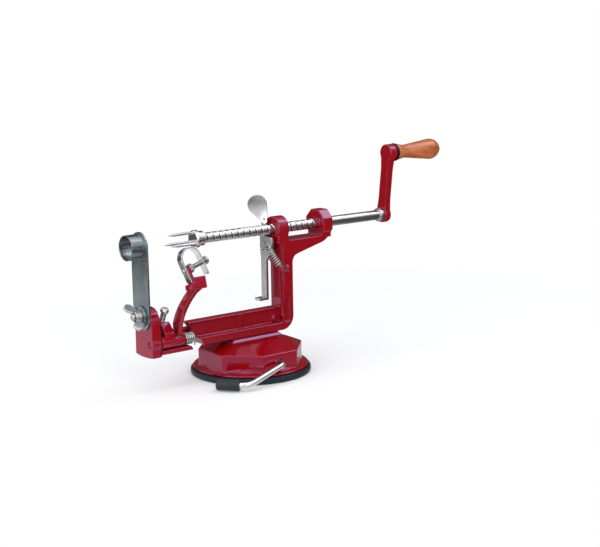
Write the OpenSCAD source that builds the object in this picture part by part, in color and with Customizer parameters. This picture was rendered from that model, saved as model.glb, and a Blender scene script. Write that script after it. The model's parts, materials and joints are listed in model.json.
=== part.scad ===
// Hand cranked apple peeler, corer and slicer on a suction base, in millimetres.
// Origin: centre of the pad's flat underside. +X runs along the screw towards the crank,
// +Y is the side away from the peeling blade, +Z is up.

/* [Base] */
// Diameter of the rubber pad
pad_d = 105; // [98:1:116]
// Height of the pad's rim
pad_h = 5.5; // [5:0.5:8]
// Height of the cup above the pad's rim
cup_h = 24; // [22:1:32]
// Diameter of the cup across the corners of its eight sides
cup_corner_d = 93; // [90:1:97]
// Height of the cup's upright sides above the pad's rim
cup_side_h = 17.5; // [16:0.5:20]
// Thickness of the cup's wall
cup_wall = 3; // [2:0.5:4]
// Length of the flat land on top of the cup
land_l = 56; // [52:1:64]
// Width of the flat land on top of the cup
land_w = 44; // [38:1:50]
// Distance between the two screws that hold the frame
base_screw_pitch = 32; // [28:1:36]
// Diameter of those screws
base_screw_d = 5; // [4:0.5:6]

/* [Suction lever] */
// Diameter of the lever's rod
lever_rod_d = 5; // [4:0.5:6]
// Height of the lever's shaft above the pad's rim
lever_shaft_h = 10; // [9.5:0.25:11]
// Reach of the lever's outer bend from its shaft, against X
lever_reach = 44; // [40:0.5:48]
// Diameter of the lever's grip
grip_d = 10; // [8:0.5:12]
// Length of the lever's grip
grip_l = 20; // [16:1:24]
// Throw of the eccentric on the shaft
cam_throw = 1.5; // [1:0.1:1.8]
// Diameter of the eccentric
cam_d = 10; // [9:0.5:10.5]

/* [Frame] */
// Height of the screw's axis above the underside of the beam
screw_h = 89; // [84:1:100]
// Width of the casting at its foot and post
frame_w = 20; // [18:1:24]
// Thickness of the beam's web
web_t = 7; // [6:0.5:9]
// Height of the beam
beam_h = 20.5; // [18:0.5:24]
// Height of the flange along the bottom of the beam
flange_h = 7; // [6:0.5:9]
// Height of the foot that stands on the cup
foot_h = 3.5; // [3:0.5:5]
// Length of the foot that stands on the cup
foot_l = 48; // [46:1:52]
// Place of the post's front face along X
post_x = 29; // [28:0.5:34]
// Thickness of the post along X
post_t = 12; // [10:0.5:15]
// Length of the front screw bearing
front_lug_l = 11; // [9:0.5:14]
// Diameter of the front screw bearing
front_lug_d = 22; // [19:0.5:25]
// Length of the rear screw bearing
rear_lug_l = 11; // [9:0.5:14]
// Diameter of the rear screw bearing
rear_lug_d = 25; // [22:0.5:28]
// Distance between the front faces of the two screw bearings
lug_gap = 48; // [44:1:54]

/* [Front bracket] */
// Place of the bracket's front face along X
bracket_x = -108; // [-114:1:-104]
// Thickness of the bracket
bracket_t = 8.5; // [7:0.5:10]
// Width of the bracket
bracket_w = 27; // [25:1:31]
// Height of the slicer's bolt above the underside of the beam
bolt_h = 31.5; // [30:0.5:33]
// Height of the middle of the bracket's arch above the foot of the frame
bracket_h = 25.5; // [24:0.5:28]
// Thickness of the shelf behind the bracket
shelf_t = 3.6; // [3:0.2:5]
// Length of the shelf at its underside
shelf_l = 32; // [30:0.5:34]
// Width of the side rib that ties the bracket to the beam
rib_w = 7; // [6:0.5:8]

/* [Drive screw] */
// Diameter of the screw
screw_d = 9; // [8:0.25:10]
// Length of the screw behind the fork
screw_l = 208; // [204:1:224]
// Place of the fork's rear face along X
fork_x = -48; // [-56:1:-44]
// Length of the threaded part
thread_l = 128; // [110:1:140]
// Distance that the screw moves in one turn
thread_pitch = 6.35; // [5:0.05:8]
// Depth of the thread's groove
groove_depth = 1; // [0.8:0.05:1.1]
// Diameter of the fork's hub
fork_d = 15.5; // [14:0.5:17]
// Length of the fork's hub
fork_hub_l = 9; // [7:0.5:12]
// Length of the prongs in front of the hub
prong_l = 25; // [20:1:28]
// Diameter of a prong
prong_d = 2.5; // [2:0.1:3]

/* [Crank] */
// Throw of the crank from the screw to the handle
crank_r = 58; // [50:1:66]
// Lean of the crank at rest, in degrees
crank_lean = 7; // [0:1:20]
// Thickness of the crank's arm along X
crank_t = 7; // [6:0.5:9]
// Width of the crank's arm
crank_w = 10; // [8.5:0.5:12]
// Diameter of the crank's hub
crank_hub_d = 15; // [14:0.5:17]
// Length of the boss that carries the handle
crank_boss_l = 9.5; // [8.5:0.5:14]
// Diameter of the boss that carries the handle
crank_boss_d = 15.6; // [13:0.2:17]
// Length of the wooden handle
handle_l = 53; // [46:1:60]
// Largest diameter of the wooden handle
handle_d = 19.2; // [17:0.2:22]
// Diameter of the pin that the handle turns on
handle_pin_d = 5; // [4:0.5:6]

/* [Peeler arm] */
// Height of the arm's pivot above the underside of the beam
pivot_h = 8.5; // [8.5:0.25:10]
// Distance of the arm's pivot from the middle, against Y
pivot_y = 9; // [8:0.25:10]
// Diameter of the pivot pin
pivot_d = 5.5; // [4.5:0.25:6]
// Length of the arm's hub
arm_hub_l = 22.2; // [20:0.2:23]
// Wall of the arm's hub
arm_hub_wall = 2.4; // [2:0.1:2.4]
// Reach of the arm's head from the pivot, against Y
arm_reach = 27.5; // [25:0.5:30]
// Height of the arm's head above the pivot
arm_rise = 62; // [60:0.5:66]
// Thickness of the arm's bar
arm_bar_t = 4.5; // [3.5:0.5:6]
// Height above the pivot where the bar's inner edge starts to curve
bar_root_z = 13.5; // [12:0.5:15]
// Height above the pivot that the bar's inner edge bends towards
bar_inner_bend_z = 29.5; // [27:0.5:32]
// Height above the pivot that the bar's outer edge bends towards
bar_outer_bend_z = 26; // [24:0.5:28]
// Drop from the head to the end of the bar's inner curve
bar_inner_drop = 15.3; // [14:0.1:17]
// Drop from the head to the end of the bar's outer curve
bar_outer_drop = 13.5; // [12:0.1:15]
// Offset of the inner curve's end from the head's middle
bar_inner_y = 6.9; // [6:0.1:8]
// Offset of the outer curve's end from the head's middle
bar_outer_y = 6.1; // [5:0.1:7]
// Diameter of the stop screw
stop_screw_d = 5; // [4.4:0.2:5.4]
// Gap between the two legs of the peeling blade
blade_gap = 16.8; // [15:0.2:19]
// Thickness of the peeling blade
blade_t = 1.2; // [1:0.1:1.6]
// Width of the peeling blade's strip
blade_w = 7; // [6:0.5:9]
// Height of the peeling blade
blade_h = 27; // [24:0.5:32]
// Diameter of the bolt through the peeling blade
blade_bolt_d = 4; // [3:0.25:5]

/* [Slicer] */
// Diameter of the slicer's bolt
slicer_bolt_d = 6; // [5:0.25:7]
// Thickness of the knife
knife_t = 1.6; // [1.2:0.1:2.2]
// Width of the knife
knife_w = 24; // [20:0.5:25]
// Inside diameter of the coring ring
ring_d = 19; // [18.6:0.2:22]
// Wall of the coring ring
ring_wall = 1; // [0.8:0.1:1.4]
// Length of the coring ring
ring_l = 14; // [11:0.5:17]
// Diameter of the slicer's washer
slicer_washer_d = 18; // [15:0.5:20]
// Thickness of the slicer's washer
slicer_washer_t = 1.6; // [1.2:0.1:2]

/* [Release lever] */
// Thickness of the lever's plate
plate_t = 2.5; // [2:0.1:3]
// Gap between the lever's plate and the boss that it turns on
plate_gap = 0.3; // [0.2:0.05:0.5]
// Width of the lever's long leg
leg_w = 7.5; // [6:0.5:9]
// Length of the lever's long leg below its plate
leg_l = 38; // [34:1:44]
// Length of the foot that is turned at the leg's end
leg_foot_l = 10; // [8:0.5:12]
// Length of the thumb paddle
paddle_l = 24; // [21:0.5:27]
// Width of the thumb paddle
paddle_w = 17; // [15:0.5:19]
// Diameter of the pivot rivet
rivet_d = 5; // [4:0.5:5.5]

/* [Springs] */
// Wire of the lever's spring
lever_wire_d = 0.9; // [0.7:0.05:1]
// Outside diameter of the lever's spring
lever_coil_d = 6.2; // [5.6:0.1:7]
// Turns of the lever's spring
lever_turns = 7; // [5:1:10]
// Wire of the arm's spring
arm_wire_d = 1.3; // [1.1:0.1:1.5]
// Turns of the arm's spring
arm_turns = 4; // [3:1:4]

/* [Fits] */
// Radial clearance of a shaft that runs in a bore
run_fit = 0.06; // [0.03:0.01:0.08]
// Radial clearance of a fixed pin in its hole
pin_fit = 0.02; // [0.01:0.01:0.04]
// Gap between faces that slide past each other
slide_gap = 0.3; // [0.2:0.05:0.5]

/* [Hidden] */
$fn = 64;
hull_fn = 32;
wire_sides = 6;
rings_per_turn = 8;
eps = 0.01;

frame_red = [0.50, 0.02, 0.05];
rubber_black = [0.06, 0.07, 0.12];
chrome_grey = [0.80, 0.80, 0.82];
steel_grey = [0.62, 0.63, 0.65];
zinc_blue = [0.66, 0.70, 0.78];
wood_brown = [0.72, 0.36, 0.12];
dark_grey = [0.15, 0.15, 0.17];

// Main levels and axes
cup_top_z = pad_h + cup_h;
frame_z = cup_top_z + foot_h;
screw_z = frame_z + screw_h;
pivot_z = frame_z + pivot_h;
bolt_z = frame_z + bolt_h;
arch_z = frame_z + bracket_h;
beam_top_z = frame_z + beam_h;
shaft_z = pad_h + lever_shaft_h;

// Shared helpers

// Stands a cylinder drawn along Z along +X instead
module along_x() { rotate([0, 90, 0]) children(); }

// Extrudes an outline drawn as (Y, Z) from x0 to x1
module yz_plate(x0, x1) {
    translate([x0, 0, 0]) rotate([90, 0, 90]) linear_extrude(x1 - x0) children();
}

// Extrudes an outline drawn as (X, Z) from y0 to y1
module xz_plate(y0, y1) {
    translate([0, y1, 0]) rotate([90, 0, 0]) linear_extrude(y1 - y0) children();
}

// Points of a quadratic curve from a to c, drawn towards b
function curve(a, b, c, steps) = [
    for (i = [0 : steps]) let (t = i / steps) pow(1 - t, 2) * a + 2 * t * (1 - t) * b + t * t * c];

// Points of an arc about c in the plane of the outline
function arc(c, r, a0, a1, steps) = [
    for (i = [0 : steps]) let (a = a0 + (a1 - a0) * i / steps) c + r * [cos(a), sin(a)]];

function unit(v) = v / norm(v);

// Direction of a path at its point i
function tangent(p, i) = unit(p[min(i + 1, len(p) - 1)] - p[max(i - 1, 0)]);

// A vector turned square to the direction t
function square_to(n, t) = unit(n - (n * t) * t);

// Side vectors along a path, each turned as little as possible from the last
function sides_along(p, first) = [
    for (i = 0, n = square_to(first, tangent(p, 0)); i < len(p);
         i = i + 1, n = i < len(p) ? square_to(n, tangent(p, i)) : n) n];

// One closed tube of diameter d swept along the path p
module tube_along(p, d, first, sides = wire_sides) {
    side = sides_along(p, first);
    count = len(p);
    points = [for (i = [0 : count - 1]) let (up = cross(tangent(p, i), side[i]))
        for (k = [0 : sides - 1]) let (a = 360 * k / sides)
            p[i] + d / 2 * (cos(a) * side[i] + sin(a) * up)];
    wall = [for (i = [0 : count - 2], k = [0 : sides - 1])
        let (a = i * sides + k, b = i * sides + (k + 1) % sides)
            each [[a, a + sides, b], [b, a + sides, b + sides]]];
    start_cap = [for (k = [1 : sides - 2]) [0, k, k + 1]];
    last = (count - 1) * sides;
    end_cap = [for (k = [1 : sides - 2]) [last, last + k + 1, last + k]];
    polyhedron(points, concat(start_cap, wall, end_cap));
}

// Points of a helix about the line from a towards b, starting on the side vector
function helix(a, b, r, turns, side, lead = 0, turn_sign = 1) = let (
    axis = unit(b - a), u = square_to(side, axis), v = cross(axis, u), steps = turns * rings_per_turn)
    [for (i = [0 : steps]) let (t = i / steps, ang = turn_sign * 360 * turns * t + lead)
        a + (b - a) * t + r * (cos(ang) * u + sin(ang) * v)];

// Least distance between points of a path that lie further apart than skip points
function self_gap(p, skip) = min([
    for (i = [0 : len(p) - 1 - skip], j = [i + skip : len(p) - 1]) norm(p[i] - p[j])]);

// Base

flange_t = 2;
flange_r = pad_d / 2 - 2;
flare_h = 7.5;
cup_r = cup_corner_d / 2;
cup_flat_r = cup_r * cos(180 / 8);
cavity_r = cup_flat_r - cup_wall;
cavity_h = 15.6;
roof_t = 4.5;
upper_cavity_l = land_l - 8;
upper_cavity_w = land_w - 8;
shaft_boss_l = 6;
shaft_boss_wall = 3;
shaft_end_y = cavity_r - shaft_boss_l + 4;
shaft_bore_r = lever_rod_d / 2 + run_fit;
base_screw_head_d = base_screw_d + 4;
base_screw_head_h = 3.5;
base_screw_l = roof_t + foot_h + 5;
pad_floor_h = pad_h - 0.5;

// A wall across the whole cup at one angle, upright below and sloping in to the land
module cup_slab(angle, land_half) {
    side_z = pad_h + cup_side_h;
    rotate(angle) xz_plate(-pad_d, pad_d) polygon([
        [-cup_flat_r, pad_h + flange_t], [cup_flat_r, pad_h + flange_t], [cup_flat_r, side_z],
        [land_half, cup_top_z], [-land_half, cup_top_z], [-cup_flat_r, side_z]]);
}

module base_cup() {
    flare = curve([flange_r, flange_t], [cup_flat_r + 1, flange_t], [cup_flat_r - 0.6, flare_h], 6);
    land_corner = (land_l + land_w) / 2 / sqrt(2) - 2.5;
    color(frame_red) difference() {
        union() {
            translate([0, 0, pad_h])
                rotate_extrude() polygon(concat([[0, 0], [flange_r, 0]], flare, [[0, flare_h]]));
            intersection() {
                cup_slab(0, land_l / 2);
                cup_slab(90, land_w / 2);
                cup_slab(45, land_corner);
                cup_slab(-45, land_corner);
            }
        }
        difference() {
            translate([0, 0, pad_h - eps]) cylinder(r = cavity_r, h = cavity_h + eps);
            for (s = [-1, 1]) translate([0, s * cavity_r, shaft_z]) rotate([90, 0, 0])
                cylinder(d = lever_rod_d + 2 * shaft_boss_wall, h = 2 * shaft_boss_l, center = true);
        }
        translate([-upper_cavity_l / 2, -upper_cavity_w / 2, pad_h + cavity_h - eps])
            cube([upper_cavity_l, upper_cavity_w, cup_h - roof_t - cavity_h + eps]);
        translate([0, shaft_end_y + slide_gap, shaft_z]) rotate([90, 0, 0])
            cylinder(r = shaft_bore_r, h = 2 * pad_d);
        for (s = [-1, 1]) translate([s * base_screw_pitch / 2, 0, cup_top_z - roof_t - 1])
            cylinder(d = base_screw_d + 2 * pin_fit, h = roof_t + 2);
    }
}

module suction_pad() {
    rim = pad_d / 2;
    bulge = 1.6;
    groove_w = 2;
    groove_h = 0.7;
    color(rubber_black) difference() {
        rotate_extrude() polygon(concat(
            [[0, 0], [rim - bulge, 0]],
            curve([rim - bulge, 0], [rim + 0.0, 0.2], [rim, pad_h * 0.45], 4),
            curve([rim, pad_h * 0.45], [rim, pad_h], [rim - bulge, pad_h], 4),
            [[cavity_r + 0.5, pad_h], [cavity_r - 1, pad_floor_h], [0, pad_floor_h]]));
        for (r = [rim * 0.62, rim * 0.82]) translate([0, 0, -eps]) difference() {
            cylinder(r = r + groove_w / 2, h = groove_h);
            translate([0, 0, -eps]) cylinder(r = r - groove_w / 2, h = groove_h + 1);
        }
    }
}

module base_screws() {
    slot_w = 1.2;
    slot_h = 1.6;
    color(steel_grey) for (s = [-1, 1]) translate([s * base_screw_pitch / 2, 0, cup_top_z - roof_t]) {
        cylinder(d = base_screw_d, h = base_screw_l);
        difference() {
            translate([0, 0, -base_screw_head_h]) cylinder(d = base_screw_head_d, h = base_screw_head_h);
            translate([-base_screw_head_d / 2 - 1, -slot_w / 2, -base_screw_head_h - eps])
                cube([base_screw_head_d + 2, slot_w, slot_h]);
        }
    }
}

// Suction lever: a straight shaft through the cup, then a bent rod that runs down to the grip

grip_rest_z = grip_d / 2 + 0.5;
bend_r = 7;
lever_stand = 6.5;
lever_splay = 7.6;
lever_tip_l = 7.8;
lever_tip_dir = [cos(128.7), sin(128.7), 0];
lever_out_y = -(cup_flat_r + lever_stand);
lever_bend = [-lever_reach, lever_out_y - lever_splay, grip_rest_z];
grip_start = lever_bend + lever_tip_l * lever_tip_dir;
grip_end_t = 2;
clip_y = -(cavity_r - shaft_boss_l) + slide_gap;
clip_t = 1;
clip_groove = 0.6;

// Path of the bent part, its two corners rounded with curves
lever_path = let (
    a = [0, lever_out_y + bend_r, shaft_z], b = [0, lever_out_y, shaft_z],
    out = unit(lever_bend - b))
    concat([a + [0, bend_r, 0]], curve(a, b, b + bend_r * out, 5),
        curve(lever_bend - bend_r * out, lever_bend, lever_bend + bend_r * lever_tip_dir, 5),
        [grip_start + (grip_l - grip_end_t - 1) * lever_tip_dir]);

module suction_lever() {
    color(chrome_grey) {
        difference() {
            translate([0, shaft_end_y, shaft_z]) rotate([90, 0, 0])
                cylinder(d = lever_rod_d, h = shaft_end_y - lever_out_y - 2 * bend_r + 0.5);
            translate([0, clip_y + clip_t, shaft_z]) rotate([90, 0, 0]) difference() {
                cylinder(d = lever_rod_d + 2, h = clip_t);
                translate([0, 0, -1]) cylinder(d = lever_rod_d - 2 * clip_groove, h = clip_t + 2);
            }
        }
        tube_along(lever_path, lever_rod_d - 2 * pin_fit, [0, 0, 1], 14);
    }
}

module lever_grip() {
    round_r = 1.5;
    hole_r = lever_rod_d / 2 + pin_fit;
    color(rubber_black) translate(grip_start) rotate([0, 90, atan2(lever_tip_dir[1], lever_tip_dir[0])])
        rotate_extrude() polygon(concat(
            [[0, grip_l - grip_end_t], [hole_r, grip_l - grip_end_t], [hole_r, 0]],
            arc([grip_d / 2 - round_r, round_r], round_r, -90, 0, 4),
            arc([grip_d / 2 - round_r, grip_l - round_r], round_r, 0, 90, 4),
            [[0, grip_l]]));
}

cam_w = 6;
eye_w = cam_w - 1;
eye_side = cam_throw + 0.5;
eye_over = 0.2;
eye_under = 0.3;
cam_turn = 120;
cam_rise = cam_throw * (1 - cos(cam_turn));
eye_wall = 2.5;
stud_foot_d = 24;
stud_foot_h = 1.8;

module suction_cam() {
    color(steel_grey) translate([0, cam_w / 2, shaft_z]) rotate([90, 0, 0]) difference() {
        translate([0, -cam_throw, 0]) cylinder(d = cam_d, h = cam_w);
        translate([0, 0, -1]) cylinder(r = lever_rod_d / 2 + pin_fit, h = cam_w + 2);
    }
}

module shaft_clip() {
    inner_r = lever_rod_d / 2 - clip_groove + pin_fit;
    mouth = 2 * inner_r * 0.8;
    color(steel_grey) translate([0, clip_y + clip_t - pin_fit, shaft_z]) rotate([90, 0, 0]) difference() {
        cylinder(d = lever_rod_d + 5, h = clip_t - 2 * pin_fit);
        translate([0, 0, -1]) cylinder(r = inner_r, h = clip_t + 2);
        translate([-mouth / 2, 0, -1]) cube([mouth, lever_rod_d + 5, clip_t + 2]);
    }
}

module pull_stud() {
    foot_z = pad_floor_h + slide_gap;
    cam_z = shaft_z - cam_throw;
    slot_l = cam_d + 2 * eye_side;
    slot_h = cam_d + cam_rise + eye_over + eye_under;
    eye_top_z = cam_z + cam_d / 2 + cam_rise + eye_over + eye_wall;
    color(steel_grey) {
        translate([0, 0, foot_z]) cylinder(d = stud_foot_d, h = stud_foot_h);
        difference() {
            translate([-slot_l / 2 - eye_wall, -eye_w / 2, foot_z + stud_foot_h - eps])
                cube([slot_l + 2 * eye_wall, eye_w, eye_top_z - foot_z - stud_foot_h]);
            translate([-slot_l / 2, -eye_w / 2 - 1, cam_z - cam_d / 2 - eye_under])
                cube([slot_l, eye_w + 2, slot_h]);
        }
    }
}

// Frame casting: foot, beam, post, rear arm with two bearings, front bracket

post_end_x = post_x + post_t;
corner_r = 12;
front_lug_x = post_x - 3;
rear_lug_x = front_lug_x + lug_gap;
rear_lug_end_x = rear_lug_x + rear_lug_l;
arm_top_z = screw_z - 10;
foot_w = frame_w - 4;
rim_h = 2;
rim_stand = 1;
rib_mid_x = -14;
rib_mid_w = 3;
post_groove = 1.5;
beam_front_x = -55;
beam_slant = 12 / 20.5;
bracket_end_x = bracket_x + bracket_t;
bracket_drop = 3.5;
bracket_arch_r = bracket_w / 2 - 0.5;
shelf_z = frame_z - 1;
shelf_top_z = shelf_z + shelf_t;
shelf_end_x = bracket_end_x + shelf_l;
rib_y = bracket_w / 2 - 0.5 - rib_w;
rib_top_z = frame_z + 13.3;
rib_under_z = frame_z + 6;
rib_start_x = shelf_end_x - 18;
gusset_x = beam_front_x + 1;
gusset_l = 14;
pin_boss_r = pivot_d / 2 + 2.75;
screw_bore_r = screw_d / 2 + run_fit;

// Boss on the post that the release lever turns on, seen from the screw's axis
rivet_y = 7.5;
rivet_drop = 14.5;
boss_l = 5.2;
boss_x = post_x - boss_l;
boss_r = rivet_d / 2 + 3;

// Eye on the post that the lever's spring hooks into, seen from the screw's axis
eye_y = -frame_w / 2 - 3;
eye_drop = 33.5;
eye_x = post_x + 0.5;
eye_t = 3;
eye_hole_r = 1.8;
eye_r = eye_hole_r + 1.9;

// Place of the beam's slanted front end at the height z
function beam_end(z) = beam_front_x - beam_slant * (z - frame_z);

// Post and flange in one outline, with the round corner under the post
module flange_outline() {
    corner = [post_end_x - corner_r, frame_z + corner_r];
    ledge_z = frame_z + flange_h;
    polygon(concat([[beam_end(frame_z), frame_z]], arc(corner, corner_r, -90, 0, 10),
        [[post_end_x, corner[1] + 1], [post_x, corner[1] + 1], [post_x, ledge_z],
            [beam_end(ledge_z), ledge_z]]));
}

module web_outline() {
    polygon([[beam_end(frame_z), frame_z], [post_x + 1, frame_z], [post_x + 1, beam_top_z],
        [beam_end(beam_top_z), beam_top_z]]);
}

// Shallow recess in the side of the post, arched at its top
module post_recess() {
    slot_w = post_t - 6.5;
    slot_x = post_x + 2.2;
    slot_top_z = beam_top_z + 6;
    translate([slot_x, frame_z + flange_h]) square([slot_w, slot_top_z - frame_z - flange_h]);
    translate([slot_x + slot_w / 2, slot_top_z]) circle(slot_w / 2);
}

// Rear arm, deep at the post and thin at the rear bearing
module rear_arm_outline() {
    root_z = screw_z - 24;
    tip_z = screw_z - 17;
    polygon(concat(
        [[post_x + 1, arm_top_z], [post_x + 1, root_z - 6], [post_end_x - 1, root_z - 6]],
        curve([post_end_x, root_z - 6], [post_end_x + 0.5, root_z], [post_end_x + 6, root_z + 1], 5),
        curve([rear_lug_x - 4, tip_z], [rear_lug_end_x - 6, tip_z + 1.5],
            [rear_lug_end_x - 3, arm_top_z - 1], 5),
        [[rear_lug_end_x - 3, arm_top_z]]));
}

module post_body() {
    chamfer = 3;
    half = frame_w / 2;
    translate([0, 0, frame_z + corner_r]) linear_extrude(arm_top_z - frame_z - corner_r) polygon([
        [post_x, chamfer - half], [post_x + chamfer, -half], [post_end_x, -half],
        [post_end_x, half], [post_x + chamfer, half], [post_x, half - chamfer]]);
}

// A bearing round the screw, standing on the top of the arm
module screw_lug(x, l, d, sides) {
    yz_plate(x, x + l) {
        translate([0, screw_z]) rotate(180 / sides)
            circle(d / 2 / (sides > 12 ? 1 : cos(180 / sides)), $fn = sides);
        translate([-frame_w / 2, arm_top_z - 2]) square([frame_w, screw_z - arm_top_z]);
    }
}

module front_bracket() {
    belly = 1.2;
    bottom_z = frame_z - bracket_drop;
    yz_plate(bracket_x, bracket_end_x) {
        translate([0, arch_z]) circle(bracket_arch_r);
        polygon(concat(
            curve([-bracket_w / 2, bottom_z + belly], [0, bottom_z - belly],
                [bracket_w / 2, bottom_z + belly], 8),
            [[bracket_arch_r, arch_z], [-bracket_arch_r, arch_z]]));
        translate([-pivot_y, pivot_z]) circle(pin_boss_r);
    }
    xz_plate(-bracket_arch_r, bracket_arch_r) polygon([
        [bracket_end_x - 1, shelf_z], [shelf_end_x, shelf_z],
        [shelf_end_x - beam_slant * shelf_t, shelf_top_z], [bracket_end_x - 1, shelf_top_z]]);
    xz_plate(rib_y, rib_y + rib_w) polygon([
        [rib_start_x, shelf_z + 1], [shelf_end_x - beam_slant * shelf_t - 1, shelf_z + 1],
        [shelf_end_x - 4, rib_under_z], [gusset_x + gusset_l, rib_under_z],
            [gusset_x + gusset_l, rib_top_z],
        [rib_start_x + 3, rib_top_z], [rib_start_x, rib_top_z - 6]]);
    xz_plate(0, rib_y + 1) polygon([
        [gusset_x, rib_under_z], [gusset_x + gusset_l, rib_under_z],
        [gusset_x + gusset_l, rib_top_z], [gusset_x - 3, rib_top_z]]);
}

// Foot on the cup, its four sides sloping out
module foot() {
    top_z = frame_z + 1;
    intersection() {
        xz_plate(-frame_w, frame_w) polygon([
            [-foot_l / 2 - foot_h, cup_top_z], [foot_l / 2 + foot_h, cup_top_z], [foot_l / 2 - 1, top_z],
            [1 - foot_l / 2, top_z]]);
        yz_plate(-foot_l, foot_l) polygon([
            [-foot_w / 2 - foot_h, cup_top_z], [foot_w / 2 + foot_h, cup_top_z], [foot_w / 2 - 1, top_z],
            [1 - foot_w / 2, top_z]]);
    }
}

// Rim along the top of the beam's web, and the rib across its middle
module beam_rim() {
    half = web_t / 2 + rim_stand;
    rim_z = beam_top_z - rim_h;
    xz_plate(-half, half) {
        polygon([[beam_end(rim_z), rim_z], [post_x + 1, rim_z], [post_x + 1, beam_top_z],
            [beam_end(beam_top_z), beam_top_z]]);
        translate([rib_mid_x, frame_z + 1]) square([rib_mid_w, beam_h - 2]);
    }
}

module frame_casting() {
    mark_r = 2.7;
    mark_h = 1.4;
    color(frame_red) difference() {
        union() {
            foot();
            beam_rim();
            xz_plate(-frame_w / 2, frame_w / 2) flange_outline();
            xz_plate(-web_t / 2, web_t / 2) web_outline();
            post_body();
            xz_plate(-frame_w / 2, frame_w / 2) rear_arm_outline();
            screw_lug(front_lug_x, front_lug_l, front_lug_d, $fn);
            screw_lug(rear_lug_x, rear_lug_l, rear_lug_d, 8);
            translate([boss_x, rivet_y, screw_z - rivet_drop]) along_x()
                cylinder(r = boss_r, h = boss_l + 1);
            yz_plate(eye_x, eye_x + eye_t) {
                translate([eye_y, screw_z - eye_drop]) circle(eye_r);
                translate([eye_y, screw_z - eye_drop - eye_r]) square([-eye_y - frame_w / 4, 2 * eye_r]);
            }
            front_bracket();
        }
        for (s = [-1, 1]) {
            inner_y = s * (frame_w / 2 - post_groove);
            outer_y = s * (frame_w / 2 + 1);
            xz_plate(min(inner_y, outer_y), max(inner_y, outer_y)) post_recess();
            translate([s * base_screw_pitch / 2, 0, cup_top_z - 1])
                cylinder(d = base_screw_d + 2 * pin_fit, h = base_screw_l - roof_t + 2);
        }
        translate([front_lug_x - 1, 0, screw_z]) along_x()
            cylinder(r = screw_bore_r, h = lug_gap + rear_lug_l + 2);
        translate([boss_x - 1, rivet_y, screw_z - rivet_drop]) along_x()
            cylinder(d = rivet_d + 2 * pin_fit, h = boss_l + 5);
        translate([eye_x - 1, eye_y, screw_z - eye_drop]) along_x()
            cylinder(r = eye_hole_r, h = eye_t + 2);
        translate([bracket_x - 1, 0, bolt_z]) along_x()
            cylinder(d = slicer_bolt_d + 2 * pin_fit, h = bracket_t + 2);
        translate([bracket_x - 1, -pivot_y, pivot_z]) along_x()
            cylinder(d = pivot_d + 2 * pin_fit, h = bracket_t + 2);
    }
    color(frame_red) translate([post_x - 5, -web_t / 2 + eps, frame_z + flange_h + mark_r + 0.5])
        rotate([90, 0, 0]) cylinder(r = mark_r, h = mark_h);
}

// Drive screw: a rod with one coarse helical groove, the fork in front and the crank behind

screw_end_x = fork_x + screw_l;
fork_front_x = fork_x - fork_hub_l;
groove_w = 1.6;
thread_crest_r = screw_d / 2 - 0.02;
slices_per_turn = 12;
rim_steps = 11;
tooth_x = boss_x - plate_gap - plate_t / 2;

// Round section with one notch, its middle turned to the angle where the lever's tooth meets it
module groove_section() {
    half = groove_w / thread_pitch * 180;
    root_half = half * 0.55;
    root_r = screw_d / 2 - groove_depth;
    polygon(concat(
        [for (i = [0 : rim_steps]) let (a = half + (360 - 2 * half) * i / rim_steps)
            thread_crest_r * [cos(a), sin(a)]],
        [for (a = [-root_half, 0, root_half]) root_r * [cos(a), sin(a)]]));
}

module drive_screw() {
    turns = thread_l / thread_pitch;
    slices = ceil(turns * slices_per_turn);
    thread_end_x = fork_x + thread_l;
    start_turn = 360 * (fork_x - tooth_x) / thread_pitch;
    color(chrome_grey) difference() {
        union() {
            translate([fork_x, 0, screw_z]) rotate([start_turn, 0, 0]) rotate([90, 0, 90])
                linear_extrude(thread_l, twist = -360 * turns, slices = slices, $fn = rim_steps + 4)
                    groove_section();
            translate([fork_front_x + 1, 0, screw_z]) along_x()
                cylinder(d = screw_d, h = fork_hub_l - 0.5);
            translate([thread_end_x - 0.5, 0, screw_z]) along_x()
                cylinder(d = screw_d, h = screw_end_x - thread_end_x + 0.5);
        }
        translate([crank_mid_x, 0, screw_z]) rotate([crank_lean, 0, 0])
            cylinder(d = crank_pin_d + 2 * pin_fit, h = 2 * screw_d, center = true);
    }
}

module prong_fork() {
    prong_count = 3;
    tip_l = 6;
    tip_r = 0.3;
    prong_ring_r = fork_d / 2 - prong_d / 2 - 0.8;
    color(chrome_grey) translate([fork_front_x, 0, screw_z]) along_x() {
        difference() {
            union() {
                cylinder(d1 = fork_d - 2, d2 = fork_d, h = 1);
                translate([0, 0, 1]) cylinder(d = fork_d, h = 2.5);
                translate([0, 0, 3.4]) cylinder(d = screw_d + 4, h = fork_hub_l - 3.4);
            }
            translate([0, 0, 1]) cylinder(d = screw_d + 2 * pin_fit, h = fork_hub_l);
        }
        for (i = [0 : prong_count - 1])
            rotate(180 + 360 * i / prong_count) translate([prong_ring_r, 0, 0]) {
            translate([0, 0, tip_l - prong_l]) cylinder(d = prong_d, h = prong_l - tip_l + 0.5);
            translate([0, 0, -prong_l]) cylinder(r1 = tip_r, r2 = prong_d / 2, h = tip_l + eps);
        }
    }
}

// Crank

crank_x = screw_end_x - crank_t;
crank_mid_x = crank_x + crank_t / 2;
crank_pin_d = 3;
thrust_t = 3.3;
thrust_d = screw_d + 3.6;
boss_end_x = crank_x + crank_boss_l;
handle_washer_t = 1;
handle_washer_d = 16.4;
handle_x = boss_end_x + handle_washer_t + 2 * slide_gap;
handle_head_d = handle_pin_d + 2.2;
handle_head_h = 2.5;
handle_end_x = handle_x + handle_l;

module thrust_washer() {
    color(chrome_grey) translate([crank_x - slide_gap - thrust_t, 0, screw_z]) along_x() difference() {
        cylinder(d = thrust_d, h = thrust_t);
        translate([0, 0, -1]) cylinder(r = screw_bore_r, h = thrust_t + 2);
    }
}

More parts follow.
